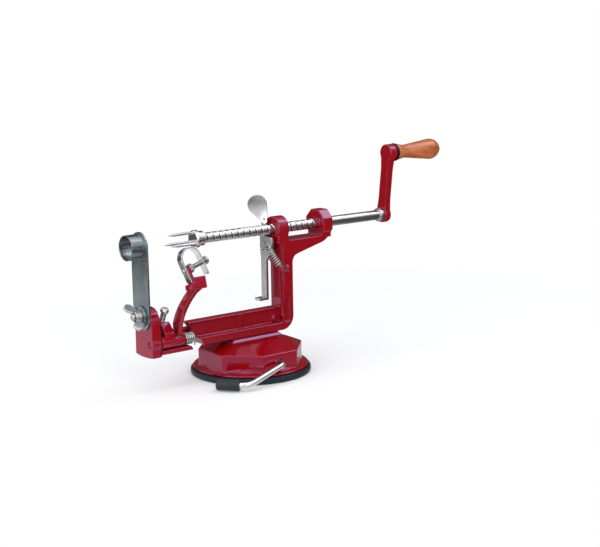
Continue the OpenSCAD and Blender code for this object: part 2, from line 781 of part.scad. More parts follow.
// Places its children on the crank's handle axis
module at_handle(x) {
    translate([x, 0, screw_z]) rotate([crank_lean, 0, 0]) translate([0, 0, crank_r]) along_x() children();
}

module crank_arm() {
    edge = 1.2;
    color(frame_red) difference() {
        union() {
            yz_plate(crank_x, crank_x + crank_t) translate([0, screw_z]) rotate(crank_lean) {
                circle(d = crank_hub_d);
                polygon([[-crank_hub_d / 2 + edge, 0], [crank_hub_d / 2 - edge, 0],
                    [crank_w / 2, crank_hub_d],
                    [crank_w / 2, crank_r - crank_boss_d], [crank_boss_d / 2 - edge, crank_r],
                    [edge - crank_boss_d / 2, crank_r], [-crank_w / 2, crank_r - crank_boss_d],
                        [-crank_w / 2, crank_hub_d]]);
            }
            at_handle(crank_x) {
                cylinder(d = crank_boss_d, h = crank_boss_l - edge);
                translate([0, 0, crank_boss_l - edge])
                    cylinder(d1 = crank_boss_d, d2 = crank_boss_d - 2 * edge, h = edge);
            }
        }
        translate([crank_x - 1, 0, screw_z]) along_x()
            cylinder(d = screw_d + 2 * pin_fit, h = crank_t + 2);
        at_handle(crank_x + 2) cylinder(d = handle_pin_d + 2 * pin_fit, h = crank_boss_l);
        translate([crank_mid_x, 0, screw_z]) rotate([crank_lean, 0, 0])
            cylinder(d = crank_pin_d + 2 * pin_fit, h = crank_hub_d - 0.5, center = true);
    }
}

module crank_pin() {
    color(chrome_grey) translate([crank_mid_x, 0, screw_z]) rotate([crank_lean, 0, 0])
        cylinder(d = crank_pin_d, h = crank_hub_d - 1, center = true);
}

module handle_pin() {
    start_x = crank_x + 2.1;
    head_x = handle_end_x - handle_head_h;
    color(steel_grey) {
        at_handle(start_x) cylinder(d = handle_pin_d, h = head_x - start_x + eps);
        at_handle(head_x) cylinder(d = handle_head_d, h = handle_head_h - 0.5);
    }
}

module handle_washer() {
    color(dark_grey) at_handle(boss_end_x + slide_gap) difference() {
        cylinder(d = handle_washer_d, h = handle_washer_t);
        translate([0, 0, -1]) cylinder(r = handle_pin_d / 2 + pin_fit, h = handle_washer_t + 2);
    }
}

// Turned handle: a bead, a neck, a swelling grip and a rounded end
module handle() {
    big_r = handle_d / 2;
    bead_r = big_r * 0.75;
    neck_r = big_r * 0.63;
    end_r = big_r * 0.54;
    bore_r = handle_pin_d / 2 + run_fit;
    neck_z = 12.5;
    swell_z = handle_l - 9.5;
    color(wood_brown) at_handle(handle_x) difference() {
        rotate_extrude() polygon(concat(
            [[0, 0], [bead_r - 0.8, 0]],
            curve([bead_r - 0.8, 0], [bead_r + 0.6, 1.4], [bead_r - 0.1, 4.6], 5),
            curve([bead_r - 0.2, 5], [neck_r + 0.1, 8], [neck_r, neck_z], 4),
            curve([neck_r + 0.1, neck_z + 0.6], [big_r * 0.76, neck_z + 11], [big_r, swell_z], 7),
            curve([big_r, swell_z + 0.2], [big_r * 0.98, handle_l - 4.5], [end_r + 0.8, handle_l - 0.7], 5),
            [[end_r, handle_l], [0, handle_l]]));
        translate([0, 0, -1]) cylinder(r = bore_r, h = handle_l + 2);
        translate([0, 0, handle_l - handle_head_h - slide_gap])
            cylinder(r = handle_head_d / 2 + slide_gap, h = handle_head_h + 1);
    }
}

// Peeler arm: a hub on the pivot pin, a curved bar, a lug for the stop screw and a head for the blade

arm_hub_x = bracket_end_x + 0.8;
arm_hub_end_x = arm_hub_x + arm_hub_l;
arm_hub_r = pivot_d / 2 + arm_hub_wall;
bar_x = arm_hub_end_x - 1.5 - arm_bar_t;
arm_coil_r = pivot_d / 2 + 0.9 + arm_wire_d / 2;
arm_coil_gap = 0.5;
arm_coil_turns = arm_turns + 0.5;
arm_coil_x = arm_hub_end_x + arm_wire_d + 0.1;
arm_coil_end_x = arm_coil_x + arm_coil_turns * (arm_wire_d + arm_coil_gap);
pin_head_t = 1;
pin_end_x = arm_coil_end_x + arm_wire_d / 2 + slide_gap;
stop_tip = [17, -2.3];
stop_tilt = 26.6;
stop_l = 33.9;
stop_x = arm_hub_x + 7.7;
stop_lug_t = 9.5;
stop_head_d = stop_screw_d + 2.2;
stop_head_h = 3.4;
head_at = [bar_x + arm_bar_t / 2, -pivot_y - arm_reach, pivot_z + arm_rise];
head_tilt = -15;
head_roll = -17.5;
blade_foot = -7;
blade_bolt_z = 3.5;
bolt_stand = 3;
head_top = -5;
head_bottom = -15;
head_half_w = 5;
head_left = -9;
head_right = 6;
tongue_t = 3;
tongue_x = slide_gap - blade_gap / 2;
nut_t = 3.6;
blade_out_r = blade_gap / 2 + blade_t;
blade_arc_z = blade_foot + blade_h - blade_out_r;

// Frame of the arm's head: Z up its slope
module at_head() { translate(head_at) rotate([head_tilt, 0, 0]) children(); }

// Frame of the blade: X across its legs, Z up its legs
module at_blade() { at_head() rotate([0, head_roll, 0]) children(); }

// Place in the head's frame of a point in the blade's frame, both as (X, Z)
function blade_to_head(x, z) = [x * cos(head_roll) + z * sin(head_roll),
    z * cos(head_roll) - x * sin(head_roll)];

// Side of the head, with a step under the end of the blade's near leg
module head_outline() {
    seat = blade_to_head(tongue_x, blade_foot - 0.9);
    polygon([[head_left, head_bottom], [head_right, head_bottom], [head_right, head_top],
        blade_to_head(tongue_x, head_top + 2), seat, [head_left, seat[1] - 0.6]]);
}

// Frame of the stop screw: its tip at the origin, its head up Z
module at_stop() {
    translate([stop_x, stop_tip[0] - pivot_y, stop_tip[1] + pivot_z])
        rotate([stop_tilt, 0, 0]) children();
}

module peeler_arm() {
    head_yz = [-arm_reach, arm_rise];
    inner = curve([arm_hub_r, bar_root_z], [-0.5, bar_inner_bend_z],
        head_yz + [bar_inner_y, -bar_inner_drop], 8);
    outer = curve(head_yz + [-bar_outer_y, -bar_outer_drop], [-5, bar_outer_bend_z], [-3.6, 6], 8);
    tongue_r = 3.2;
    color(frame_red) difference() {
        union() {
            translate([arm_hub_x, -pivot_y, pivot_z]) along_x() cylinder(r = arm_hub_r, h = arm_hub_l);
            yz_plate(bar_x, bar_x + arm_bar_t) translate([-pivot_y, pivot_z])
                polygon(concat([[4.2, 2]], inner, [head_yz + [4, -9], head_yz + [-4.5, -8]],
                    outer, [[-4.2, 0]]));
            yz_plate(stop_x - stop_lug_t / 2, stop_x + stop_lug_t / 2) translate([-pivot_y, pivot_z])
                polygon([[-4.6, 0], [-4.8, 8], [3.6, 16.5], [11.2, 12.6], [6, 5], [4.6, 0]]);
            at_head() xz_plate(-head_half_w, head_half_w) head_outline();
            at_blade() {
                translate([tongue_x, -tongue_r, head_top])
                    cube([tongue_t, 2 * tongue_r, blade_bolt_z - head_top]);
                translate([tongue_x, 0, blade_bolt_z]) along_x() cylinder(r = tongue_r, h = tongue_t);
            }
        }
        translate([arm_hub_x - 1, -pivot_y, pivot_z]) along_x()
            cylinder(r = pivot_d / 2 + run_fit, h = arm_hub_l + 2);
        at_stop() translate([0, 0, 6]) cylinder(d = stop_screw_d + 2 * pin_fit, h = stop_l);
        at_blade() translate([-blade_gap, 0, blade_bolt_z]) along_x()
            cylinder(d = blade_bolt_d + 2 * pin_fit, h = 2 * blade_gap);
        at_set_screw() translate([0, 0, -1]) cylinder(d = set_screw_d + 2 * pin_fit, h = 2 * set_screw_l);
    }
}

module arm_pivot_pin() {
    start_x = bracket_x + 1;
    color(steel_grey) translate([start_x, -pivot_y, pivot_z]) along_x() {
        cylinder(d = pivot_d, h = pin_end_x - start_x + eps);
        translate([0, 0, pin_end_x - start_x]) cylinder(d1 = pivot_d + 2, d2 = pivot_d, h = pin_head_t);
    }
}

arm_spring_path = let (
    start = [arm_coil_x, -pivot_y, pivot_z],
    end = [arm_coil_end_x, -pivot_y, pivot_z],
    coil = helix(start, end, arm_coil_r, arm_coil_turns, [0, 1, 0]),
    first = coil[0],
    last = coil[len(coil) - 1])
    concat([first - [arm_wire_d + 0.05, 0, 0]], coil, [last - [0, 0, 2 * arm_wire_d], last - [0, 0, 5.5]]);

module arm_spring() {
    color(steel_grey) tube_along(arm_spring_path, arm_wire_d, [0, 0, 1]);
}

module arm_stop_screw() {
    dome_r = stop_head_d / 2;
    color(steel_grey) at_stop() {
        cylinder(d = stop_screw_d, h = stop_l - stop_head_h + eps);
        translate([0, 0, stop_l - stop_head_h]) rotate_extrude() polygon(concat(
            [[0, 0], [dome_r, 0]], curve([dome_r, 0.8], [dome_r, stop_head_h],
                [dome_r * 0.25, stop_head_h], 6),
            [[0, stop_head_h]]));
    }
}

// Bent strip with two legs and a round top, its front edge ground to a cutting edge
module peeling_blade() {
    color(chrome_grey) at_blade() difference() {
        xz_plate(-blade_w / 2, blade_w / 2) difference() {
            union() {
                translate([0, blade_arc_z]) circle(blade_out_r);
                translate([-blade_out_r, blade_foot]) square([2 * blade_out_r, blade_arc_z - blade_foot]);
            }
            translate([0, blade_arc_z]) circle(blade_gap / 2);
            translate([-blade_gap / 2, blade_foot - 1]) square([blade_gap, blade_arc_z - blade_foot + 1]);
        }
        translate([-blade_gap, 0, blade_bolt_z]) along_x()
            cylinder(d = blade_bolt_d + 2 * pin_fit, h = 2 * blade_gap);
    }
}

module blade_bolt() {
    head_r = blade_bolt_d / 2 + 1.6;
    head_h = 2.6;
    tail = 1.4;
    color(steel_grey) at_blade() translate([0, 0, blade_bolt_z]) along_x() {
        translate([0, 0, -blade_out_r - tail])
            cylinder(d = blade_bolt_d, h = 2 * blade_out_r + tail + bolt_stand + eps);
        translate([0, 0, blade_out_r + bolt_stand]) rotate_extrude() polygon(concat(
            [[0, 0], [head_r, 0]], curve([head_r, 0.6], [head_r, head_h],
                [head_r * 0.2, head_h], 6), [[0, head_h]]));
    }
}

module blade_nut() {
    nut_x = tongue_x + tongue_t + pin_fit;
    color(steel_grey) at_blade() translate([nut_x, 0, blade_bolt_z]) along_x() difference() {
        cylinder(d = 2 * blade_bolt_d, h = nut_t, $fn = 6);
        translate([0, 0, -1]) cylinder(d = blade_bolt_d + 2 * pin_fit, h = nut_t + 2);
    }
}

set_screw_d = 4;
set_screw_l = 7;

// Frame of the set screw in the side of the arm's head
module at_set_screw() {
    at_head() translate([head_right + 0.4 - set_screw_l, 0, head_bottom + 4]) along_x() children();
}

module head_set_screw() {
    socket_d = 2.2;
    color(dark_grey) at_set_screw() difference() {
        cylinder(d = set_screw_d, h = set_screw_l);
        translate([0, 0, set_screw_l - 2]) cylinder(d = socket_d, h = 3, $fn = 6);
    }
}

// Slicer: the knife with its coring ring, clamped to the bracket by a bolt, a washer and a wing nut

face_gap = 0.05;
knife_end_x = bracket_x - face_gap;
knife_x = knife_end_x - knife_t;
washer_x = knife_x - face_gap - slicer_washer_t;
wing_hub_l = 5.3;
wing_x = washer_x - face_gap - wing_hub_l;
wing_hub_d = slicer_bolt_d + 5;
bolt_start_x = wing_x - 2;
bolt_head_t = 3;
ring_r = ring_d / 2 + ring_wall;

module slicing_blade() {
    color(zinc_blue) difference() {
        union() {
            yz_plate(knife_x, knife_end_x) {
                translate([0, bolt_z]) circle(d = knife_w);
                translate([-knife_w / 2, bolt_z]) square([knife_w, screw_z - bolt_z]);
                translate([0, screw_z]) circle(ring_r + 1.5);
            }
            translate([knife_end_x - ring_l, 0, screw_z]) along_x() cylinder(r = ring_r, h = ring_l);
        }
        translate([knife_end_x - ring_l - 1, 0, screw_z]) along_x() cylinder(d = ring_d, h = ring_l + 2);
        translate([knife_x - 1, 0, bolt_z]) along_x() cylinder(d = slicer_bolt_d + 2 * run_fit,
            h = knife_t + 2);
    }
}

module slicer_bolt() {
    color(steel_grey) translate([bolt_start_x, 0, bolt_z]) along_x() {
        cylinder(d = slicer_bolt_d, h = bracket_end_x - bolt_start_x + eps);
        translate([0, 0, bracket_end_x - bolt_start_x])
            cylinder(d = slicer_bolt_d + 5, h = bolt_head_t, $fn = 6);
    }
}

module slicer_washer() {
    color(zinc_blue) translate([washer_x, 0, bolt_z]) along_x() difference() {
        cylinder(d = slicer_washer_d, h = slicer_washer_t);
        translate([0, 0, -1]) cylinder(d = slicer_bolt_d + 2 * run_fit, h = slicer_washer_t + 2);
    }
}

module wing_nut() {
    wing_tilt = 40;
    wing_t = 2.4;
    wing_r = 4.2;
    wing_y = wing_hub_d / 2 + 4;
    wing_end_x = wing_x - 4.5;
    color(steel_grey) difference() {
        union() {
            translate([wing_x, 0, bolt_z]) along_x()
                cylinder(d1 = wing_hub_d - 2, d2 = wing_hub_d, h = wing_hub_l);
            translate([0, 0, bolt_z]) rotate([wing_tilt, 0, 0]) for (s = [-1, 1])
                translate([0, 0, -wing_t / 2]) linear_extrude(wing_t) {
                    translate([wing_end_x + wing_r, s * wing_y]) circle(wing_r);
                    polygon([[wing_x + wing_hub_l - 0.6, 0],
                        [wing_x + wing_hub_l - 0.6, s * wing_hub_d / 2],
                        [wing_end_x + 2 * wing_r - 0.4, s * (wing_y + 1.2)],
                            [wing_end_x + 0.6, s * (wing_y - 2)],
                        [wing_x + 0.6, s * (wing_hub_d / 2 - 2)], [wing_x + 0.6, 0]]);
                }
        }
        translate([wing_x - 6, 0, bolt_z]) along_x() cylinder(d = slicer_bolt_d + 2 * run_fit,
            h = wing_hub_l + 8);
    }
}

// Release lever: a steel plate on a rivet, with a tooth in the thread, a long leg and a thumb paddle

plate_end_x = boss_x - plate_gap;
plate_x = plate_end_x - plate_t;
hook_y = 0;
hook_drop = 16.4;
hook_hole_r = 2;
hook_ring_r = hook_hole_r + 1.6;
hook_ring_h = 0.8;
plate_top = -6.5;
plate_bottom = -25;
leg_y = 6.5;
stem_y = screw_d / 2 + 0.8;
stem_w = 6;
stem_neck_w = 3.2;
neck_z = 2;
paddle_at = [plate_end_x, stem_y + 1.2, 7];
paddle_angle = 66;
paddle_turn = 45;
paddle_t = 1.8;
dish_r = 34;
tooth_w = 0.6;
tooth_h = 1;
tooth_bite = 0.4;
rivet_head_d = rivet_d + 3;
rivet_head_h = 1;

// Spoon on top of the lever, turned to face the hand
module paddle() {
    root_r = 2.4;
    tip_r = paddle_w / 2;
    mid = paddle_l / 2 * [cos(paddle_angle), sin(paddle_angle)];
    translate(paddle_at) rotate([0, 0, paddle_turn]) intersection() {
        yz_plate(-6, 4) rotate(paddle_angle) hull() {
            circle(root_r, $fn = hull_fn);
            translate([paddle_l - tip_r, 0]) circle(tip_r, $fn = hull_fn);
        }
        translate([-dish_r, mid[0], mid[1]]) difference() {
            sphere(dish_r + paddle_t / 2);
            sphere(dish_r - paddle_t / 2);
        }
    }
}

module release_lever() {
    leg_end = plate_bottom - leg_l;
    tooth_end = screw_d / 2 - tooth_bite;
    color(steel_grey) translate([0, 0, screw_z]) difference() {
        union() {
            yz_plate(plate_x, plate_end_x) polygon(concat(
                [[stem_y + stem_w, plate_top + 2], [stem_y, plate_top + 2], [stem_y, plate_top],
                    [-4.4, plate_top]],
                curve([-4.4, plate_top], [-9, -17], [leg_y - leg_w / 2, plate_bottom - 3], 8),
                [[leg_y - leg_w / 2, leg_end], [leg_y + leg_w / 2, leg_end],
                    [leg_y + leg_w / 2, plate_bottom],
                    [stem_y + stem_w, plate_bottom + 6]]));
            translate([plate_x - leg_foot_l + plate_t, leg_y - leg_w / 2, leg_end])
                cube([leg_foot_l, leg_w, plate_t]);
            translate([plate_x - hook_ring_h, hook_y, -hook_drop]) along_x()
                cylinder(r = hook_ring_r, h = plate_t);
            translate([plate_x, stem_y, -10]) cube([plate_t, stem_w, 10 + neck_z]);
            translate([plate_x, stem_y, 0]) cube([plate_t, stem_neck_w, paddle_at[2] + 1.5]);
            translate([tooth_x - tooth_w / 2, tooth_end, -tooth_h / 2])
                cube([tooth_w, stem_y - tooth_end + 1, tooth_h]);
            paddle();
        }
        translate([plate_x - 2, hook_y, -hook_drop]) along_x() cylinder(r = hook_hole_r, h = plate_t + 4);
        translate([plate_x - 1, rivet_y, -rivet_drop]) along_x() {
            cylinder(d = rivet_d + 2 * run_fit, h = plate_t + 2);
            cylinder(d = rivet_head_d + 2 * slide_gap, h = 1 + rivet_head_h + slide_gap);
        }
    }
}

module lever_pivot() {
    color(steel_grey) translate([plate_x, rivet_y, screw_z - rivet_drop]) along_x() {
        cylinder(d = rivet_head_d, h = rivet_head_h);
        cylinder(d = rivet_d, h = plate_t + plate_gap + boss_l);
    }
}

// Path of the extension spring: through the lever's hole, down the coil and through the post's eye
lever_spring_path = let (
    top_z = screw_z - hook_drop + 1,
    low_z = screw_z - eye_drop + eye_hole_r - lever_wire_d / 2 - face_gap,
    front_x = plate_x - hook_ring_h,
    top = [front_x - 1.8, hook_y, top_z],
    low = [eye_x - 1.4, eye_y, low_z],
    coil_r = (lever_coil_d - lever_wire_d) / 2,
    coil_top = [front_x - coil_r, hook_y - hook_ring_r - coil_r - 2, top_z - 2],
    coil_low = [low[0] - 2 * coil_r, eye_y - 0.6, low_z + 2.2],
    line = unit(coil_low - coil_top),
    coil = helix(coil_top, coil_low, coil_r, lever_turns, [1, 0, 0]))
    concat([[plate_end_x + 0.8, hook_y, top_z]],
        curve(top + [1.4, 0, 0], top, top + 1.4 * unit(coil_top - top), 3), [coil_top - 1.6 * line], coil,
        [coil_low + 1.6 * line], curve(low - [1.2, 0, -1], low, low + [0.8, 0, 0], 3),
        [[eye_x + eye_t + 0.8, eye_y, low_z]]);

module lever_spring() {
    color(steel_grey) tube_along(lever_spring_path, lever_wire_d, [0, 0, 1]);
}

// Points closer along a spring than this many rings belong to one bend
bend_rings = 6;
echo("least gap of the arm's spring", self_gap(arm_spring_path, bend_rings) - arm_wire_d);
echo("least gap of the lever's spring", self_gap(lever_spring_path, bend_rings) - lever_wire_d);

frame_casting();
base_cup();
suction_pad();
base_screws();
suction_lever();
lever_grip();
suction_cam();
shaft_clip();
pull_stud();
drive_screw();
prong_fork();
thrust_washer();
crank_arm();
crank_pin();
handle_pin();
handle_washer();
handle();
peeler_arm();
arm_pivot_pin();
arm_spring();
arm_stop_screw();
peeling_blade();
blade_bolt();
blade_nut();
head_set_screw();
slicing_blade();
slicer_bolt();
slicer_washer();
wing_nut();
release_lever();
lever_pivot();
lever_spring();
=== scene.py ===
"""Dresses a hand cranked apple peeler: its finishes, fine forms, studio light and camera."""

import json
import logging
import math
from dataclasses import dataclass
from enum import Enum
from functools import partial
from typing import ClassVar

import bmesh
import bpy
from mathutils import Matrix, Vector
from mathutils.bvhtree import BVHTree

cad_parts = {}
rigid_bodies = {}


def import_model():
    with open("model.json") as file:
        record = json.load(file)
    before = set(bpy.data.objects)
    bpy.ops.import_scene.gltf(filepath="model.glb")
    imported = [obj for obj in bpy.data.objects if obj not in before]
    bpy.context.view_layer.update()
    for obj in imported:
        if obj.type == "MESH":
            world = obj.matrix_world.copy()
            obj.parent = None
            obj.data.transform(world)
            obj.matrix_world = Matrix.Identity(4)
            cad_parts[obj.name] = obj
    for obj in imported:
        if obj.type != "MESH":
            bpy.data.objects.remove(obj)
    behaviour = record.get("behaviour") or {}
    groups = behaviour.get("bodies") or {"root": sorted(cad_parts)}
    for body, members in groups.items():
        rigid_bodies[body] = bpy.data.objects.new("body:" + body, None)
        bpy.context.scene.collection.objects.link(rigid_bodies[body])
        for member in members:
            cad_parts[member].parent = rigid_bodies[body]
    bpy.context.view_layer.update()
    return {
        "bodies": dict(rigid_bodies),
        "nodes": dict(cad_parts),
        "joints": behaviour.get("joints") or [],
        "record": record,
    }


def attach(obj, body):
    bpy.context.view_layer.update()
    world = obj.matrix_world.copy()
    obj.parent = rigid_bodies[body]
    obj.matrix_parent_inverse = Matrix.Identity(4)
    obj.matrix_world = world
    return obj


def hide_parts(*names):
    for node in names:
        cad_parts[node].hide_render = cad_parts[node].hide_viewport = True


LOG = logging.getLogger("apple_peeler")
MM = 0.001
# Name of the stored groove share, which also masks the painted shade in thread grooves.
GROOVE = "groove_share"
Colour = tuple[float, float, float]
Point = tuple[float, float, float]
Coords = tuple[float, ...]
Mesh = bpy.types.Mesh
Node = bpy.types.Node
Piece = bpy.types.Object
Socket = bpy.types.NodeSocket
Tree = bpy.types.NodeTree


# Node tools


def find(tree: Tree, kind: str) -> Node:
    """Returns the tree's first node of a type."""
    return next(n for n in tree.nodes if n.bl_idname == kind)


def feed(tree: Tree, socket: Socket, source: object) -> None:
    """Feeds an input of a node.

    Args:
        tree: The tree that holds the node.
        socket: The input.
        source: A node, for its first output, a socket or a value.
    """
    if isinstance(source, Node):
        source = source.outputs[0]
    if isinstance(source, Socket):
        tree.links.new(source, socket)
    else:
        socket.default_value = source


def fill(tree: Tree, node: Node, **sources: object) -> Node:
    """Fills the inputs of a node.

    Args:
        tree: The tree that holds the node.
        node: The node.
        sources: A node, a socket or a value by input name, with _ for a space in a name.

    Returns:
        The node.
    """
    for label, source in sources.items():
        feed(tree, node.inputs[label.replace("_", " ")], source)
    return node


def add_node(tree: Tree, kind: str, **sources: object) -> Node:
    """Adds a node of a type to a tree, fills its inputs as fill does, and returns it."""
    return fill(tree, tree.nodes.new(kind), **sources)


def calc(tree: Tree, operation: str, *values: object) -> Socket:
    """Adds a math node.

    Args:
        tree: The tree to add to.
        operation: The node's operation.
        values: Sockets or numbers for its inputs.

    Returns:
        The socket of the result.
    """
    node = tree.nodes.new("ShaderNodeMath")
    node.operation = operation
    for socket, value in zip(node.inputs, values):
        feed(tree, socket, value)
    return node.outputs["Value"]


def smooth(tree: Tree, value: Socket, low: object, high: object, **levels: float) -> Socket:
    """Adds a smooth step.

    Args:
        tree: The tree to add to.
        value: The socket that the step follows.
        low: The value at which it starts.
        high: The value at which it ends.
        levels: Its levels before and after, if not 0 and 1.

    Returns:
        The socket of the step.
    """
    node = add_node(tree, "ShaderNodeMapRange", Value=value, From_Min=low, From_Max=high, **levels)
    node.interpolation_type = "SMOOTHSTEP"
    return node.outputs["Result"]


# Shader tools


class Noise(Enum):
    """Named scales of the surface patterns, in cycles per metre."""

    BROAD = 45.0
    MEDIUM = 260.0
    FINE = 1500.0


def rgba(colour: Colour) -> tuple[float, float, float, float]:
    """Returns the colour with full opacity."""
    return (*colour, 1.0)


def new_group(name: str, values: dict[str, float], outputs: tuple[str, ...]
              ) -> tuple[Tree, Node, Node]:
    """Starts a shader group with a vector input, number inputs and number outputs.

    Args:
        name: Name of the group.
        values: Default value by name of a number input.
        outputs: Names of the outputs.

    Returns:
        The group, its input node and its output node.
    """
    group = bpy.data.node_groups.new(name, "ShaderNodeTree")
    add = group.interface.new_socket
    add(name="Vector", in_out="INPUT", socket_type="NodeSocketVector")
    for label, value in values.items():
        add(name=label, in_out="INPUT", socket_type="NodeSocketFloat").default_value = value
    for label in outputs:
        add(name=label, in_out="OUTPUT", socket_type="NodeSocketFloat")
    return group, group.nodes.new("NodeGroupInput"), group.nodes.new("NodeGroupOutput")


class SurfaceGroups:
    """The shader groups that several finishes share."""

    def __init__(self) -> None:
        """Builds each group once."""
        self.mottle = self._mottle()
        self.drawn = self._drawn()
        self.scuff = self._scuff()

    def _mottle(self) -> Tree:
        """Makes broad and fine patches in all directions.

        Returns:
            The group.
        """
        scales = {"Broad Scale": Noise.BROAD.value, "Fine Scale": Noise.FINE.value}
        group, start, end = new_group("mottle", scales, ("Broad", "Fine"))
        for label in ("Broad", "Fine"):
            noise = add_node(group, "ShaderNodeTexNoise", Vector=start.outputs["Vector"],
                             Scale=start.outputs[f"{label} Scale"], Detail=3.0)
            fill(group, end, **{label: noise})
        return group

    def _drawn(self) -> Tree:
        """Makes long thin streaks along X, as drawing or grain leaves.

        Returns:
            The group.
        """
        values = {"Scale": Noise.FINE.value, "Stretch": 0.03}
        group, start, end = new_group("drawn_lines", values, ("Lines",))
        squeeze = add_node(group, "ShaderNodeCombineXYZ", X=start.outputs["Stretch"], Y=1.0, Z=1.0)
        scaled = group.nodes.new("ShaderNodeVectorMath")
        scaled.operation = "MULTIPLY"
        feed(group, scaled.inputs[0], start.outputs["Vector"])
        feed(group, scaled.inputs[1], squeeze)
        noise = add_node(group, "ShaderNodeTexNoise", Vector=scaled, Scale=start.outputs["Scale"],
                         Detail=4.0)
        fill(group, end, Lines=noise)
        return group

    def _scuff(self) -> Tree:
        """Makes a sparse mask of small rubbed marks.

        Returns:
            The group.
        """
        values = {"Scale": Noise.MEDIUM.value, "Amount": 0.3}
        group, start, end = new_group("scuff", values, ("Mask",))
        noise = add_node(group, "ShaderNodeTexNoise", Vector=start.outputs["Vector"],
                         Scale=start.outputs["Scale"], Detail=6.0, Roughness=0.7)
        ramp = add_node(group, "ShaderNodeMapRange", Value=noise, From_Min=0.6, From_Max=0.75,
                        To_Max=start.outputs["Amount"])
        fill(group, end, Mask=ramp)
        return group


class Shader:
    """A material under construction, with short calls for its nodes."""

    def __init__(self, name: str) -> None:
        """Starts a material that reads object coordinates.

        Args:
            name: Name of the material.
        """
        self.material = bpy.data.materials.new(name)
        self.material.use_nodes = True
        self.tree = self.material.node_tree
        self.bsdf = find(self.tree, "ShaderNodeBsdfPrincipled")
        self.coords = self.tree.nodes.new("ShaderNodeTexCoord").outputs["Object"]

    def set(self, **sources: object) -> None:
        """Sets values on the shader's own sockets, or links sockets to them, as fill does."""
        fill(self.tree, self.bsdf, **sources)

    def use(self, group: Tree, **values: float) -> Node:
        """Places a shared group on the object coordinates.

        Args:
            group: The group to place.
            values: Values of its inputs, with _ for a space in a name.

        Returns:
            The group node.
        """
        node = self.tree.nodes.new("ShaderNodeGroup")
        node.node_tree = group
        return fill(self.tree, node, Vector=self.coords, **values)

    def mix(self, factor: Socket, low: Colour | Socket, high: Colour) -> Socket:
        """Blends two colours.

        Args:
            factor: The socket that is 0 for low and 1 for high.
            low: A fixed colour, or the socket of one.
            high: A fixed colour.

        Returns:
            The socket of the blend.
        """
        node = self.tree.nodes.new("ShaderNodeMix")
        node.data_type = "RGBA"
        first = low if isinstance(low, Socket) else rgba(low)
        fill(self.tree, node, Factor=factor, A=first, B=rgba(high))
        return node.outputs["Result"]

    def spread(self, value: Socket, low: float = 0.0, high: float = 1.0,
               start: float = 0.3, end: float = 0.7) -> Socket:
        """Spreads a noise value over a range.

        Args:
            value: The socket of the noise.
            low: The least result.
            high: The greatest result.
            start: The noise value that gives the least result.
            end: The noise value that gives the greatest result.

        Returns:
            The socket of the result.
        """
        return add_node(self.tree, "ShaderNodeMapRange", Value=value, From_Min=start,
                        From_Max=end, To_Min=low, To_Max=high).outputs["Result"]

    def bump(self, height: Socket, strength: float, depth: float) -> None:
        """Feeds a height into the shader's normal.

        Args:
            height: The height socket.
            strength: Strength of the bump, from 0 to 1.
            depth: Depth of the bump, in millimetres.
        """
        node = add_node(self.tree, "ShaderNodeBump", Strength=strength, Distance=depth * MM,
                        Height=height)
        self.set(Normal=node)


# Finishes


@dataclass(frozen=True)
class Enamel:
    """Glossy enamel on a casting, with a faint orange peel and small rubbed marks."""

    name: str
    colour: Colour
    deep: Colour
    rubbed: Colour
    roughness: tuple[float, float] = (0.07, 0.13)
    sheen: Colour = (0.5, 0.5, 1.0)

    def build(self, groups: SurfaceGroups) -> bpy.types.Material:
        """Builds the material.

        Args:
            groups: The shared shader groups.

        Returns:
            The material.
        """
        shader = Shader(self.name)
        patches = shader.use(groups.mottle, Broad_Scale=60.0, Fine_Scale=700.0)
        marks = shader.use(groups.scuff, Scale=160.0, Amount=0.05)
        colour = shader.mix(patches.outputs["Broad"], self.deep, self.colour)
        shader.set(Base_Color=shader.mix(marks.outputs["Mask"], colour, self.rubbed),
                   Roughness=shader.spread(patches.outputs["Fine"], *self.roughness),
                   Specular_IOR_Level=0.8, Specular_Tint=rgba(self.sheen))
        shader.bump(patches.outputs["Fine"], strength=0.1, depth=0.03)
        return shader.material


@dataclass(frozen=True)
class Metal:
    """Bare or plated metal with drawn lines, dull patches and painted shade in its grooves."""

    name: str
    colour: Colour
    dull: Colour
    roughness: tuple[float, float]
    line_scale: float = 900.0
    stretch: float = 0.03
    depth: float = 0.02
    # Colour of the painted shade that darkens the thread's grooves.
    groove_shade: Colour = (0.06, 0.055, 0.05)

    def build(self, groups: SurfaceGroups) -> bpy.types.Material:
        """Builds the material.

        Args:
            groups: The shared shader groups.

        Returns:
            The material.
        """
        shader = Shader(self.name)
        lines = shader.use(groups.drawn, Scale=self.line_scale, Stretch=self.stretch)
        patches = shader.use(groups.mottle, Broad_Scale=90.0, Fine_Scale=1100.0)
        plate = shader.mix(shader.spread(patches.outputs["Broad"]), self.dull, self.colour)
        # Painted shade: the stored groove share darkens the colour inside thread grooves.
        groove = shader.tree.nodes.new("ShaderNodeAttribute")
        groove.attribute_name = GROOVE
        shader.set(Base_Color=shader.mix(groove.outputs["Fac"], plate, self.groove_shade),
                   Roughness=shader.spread(lines.outputs["Lines"], *self.roughness), Metallic=1.0)
        shader.bump(lines.outputs["Lines"], strength=0.2, depth=self.depth)
        return shader.material


@dataclass(frozen=True)
class Rubber:
    """Moulded rubber or vinyl with a fine matt grain."""

    name: str
    colour: Colour
    worn: Colour
    roughness: tuple[float, float] = (0.42, 0.6)

    def build(self, groups: SurfaceGroups) -> bpy.types.Material:
        """Builds the material.

        Args:
            groups: The shared shader groups.

        Returns:
            The material.
        """
        shader = Shader(self.name)
        patches = shader.use(groups.mottle, Broad_Scale=70.0, Fine_Scale=2600.0)
        marks = shader.use(groups.scuff, Scale=300.0, Amount=0.5)
        colour = shader.mix(patches.outputs["Broad"], self.colour, self.worn)
        shader.set(Base_Color=shader.mix(marks.outputs["Mask"], colour, self.worn),
                   Roughness=shader.spread(patches.outputs["Fine"], *self.roughness),
                   Specular_IOR_Level=0.25)
        shader.bump(patches.outputs["Fine"], strength=0.3, depth=0.05)
        return shader.material


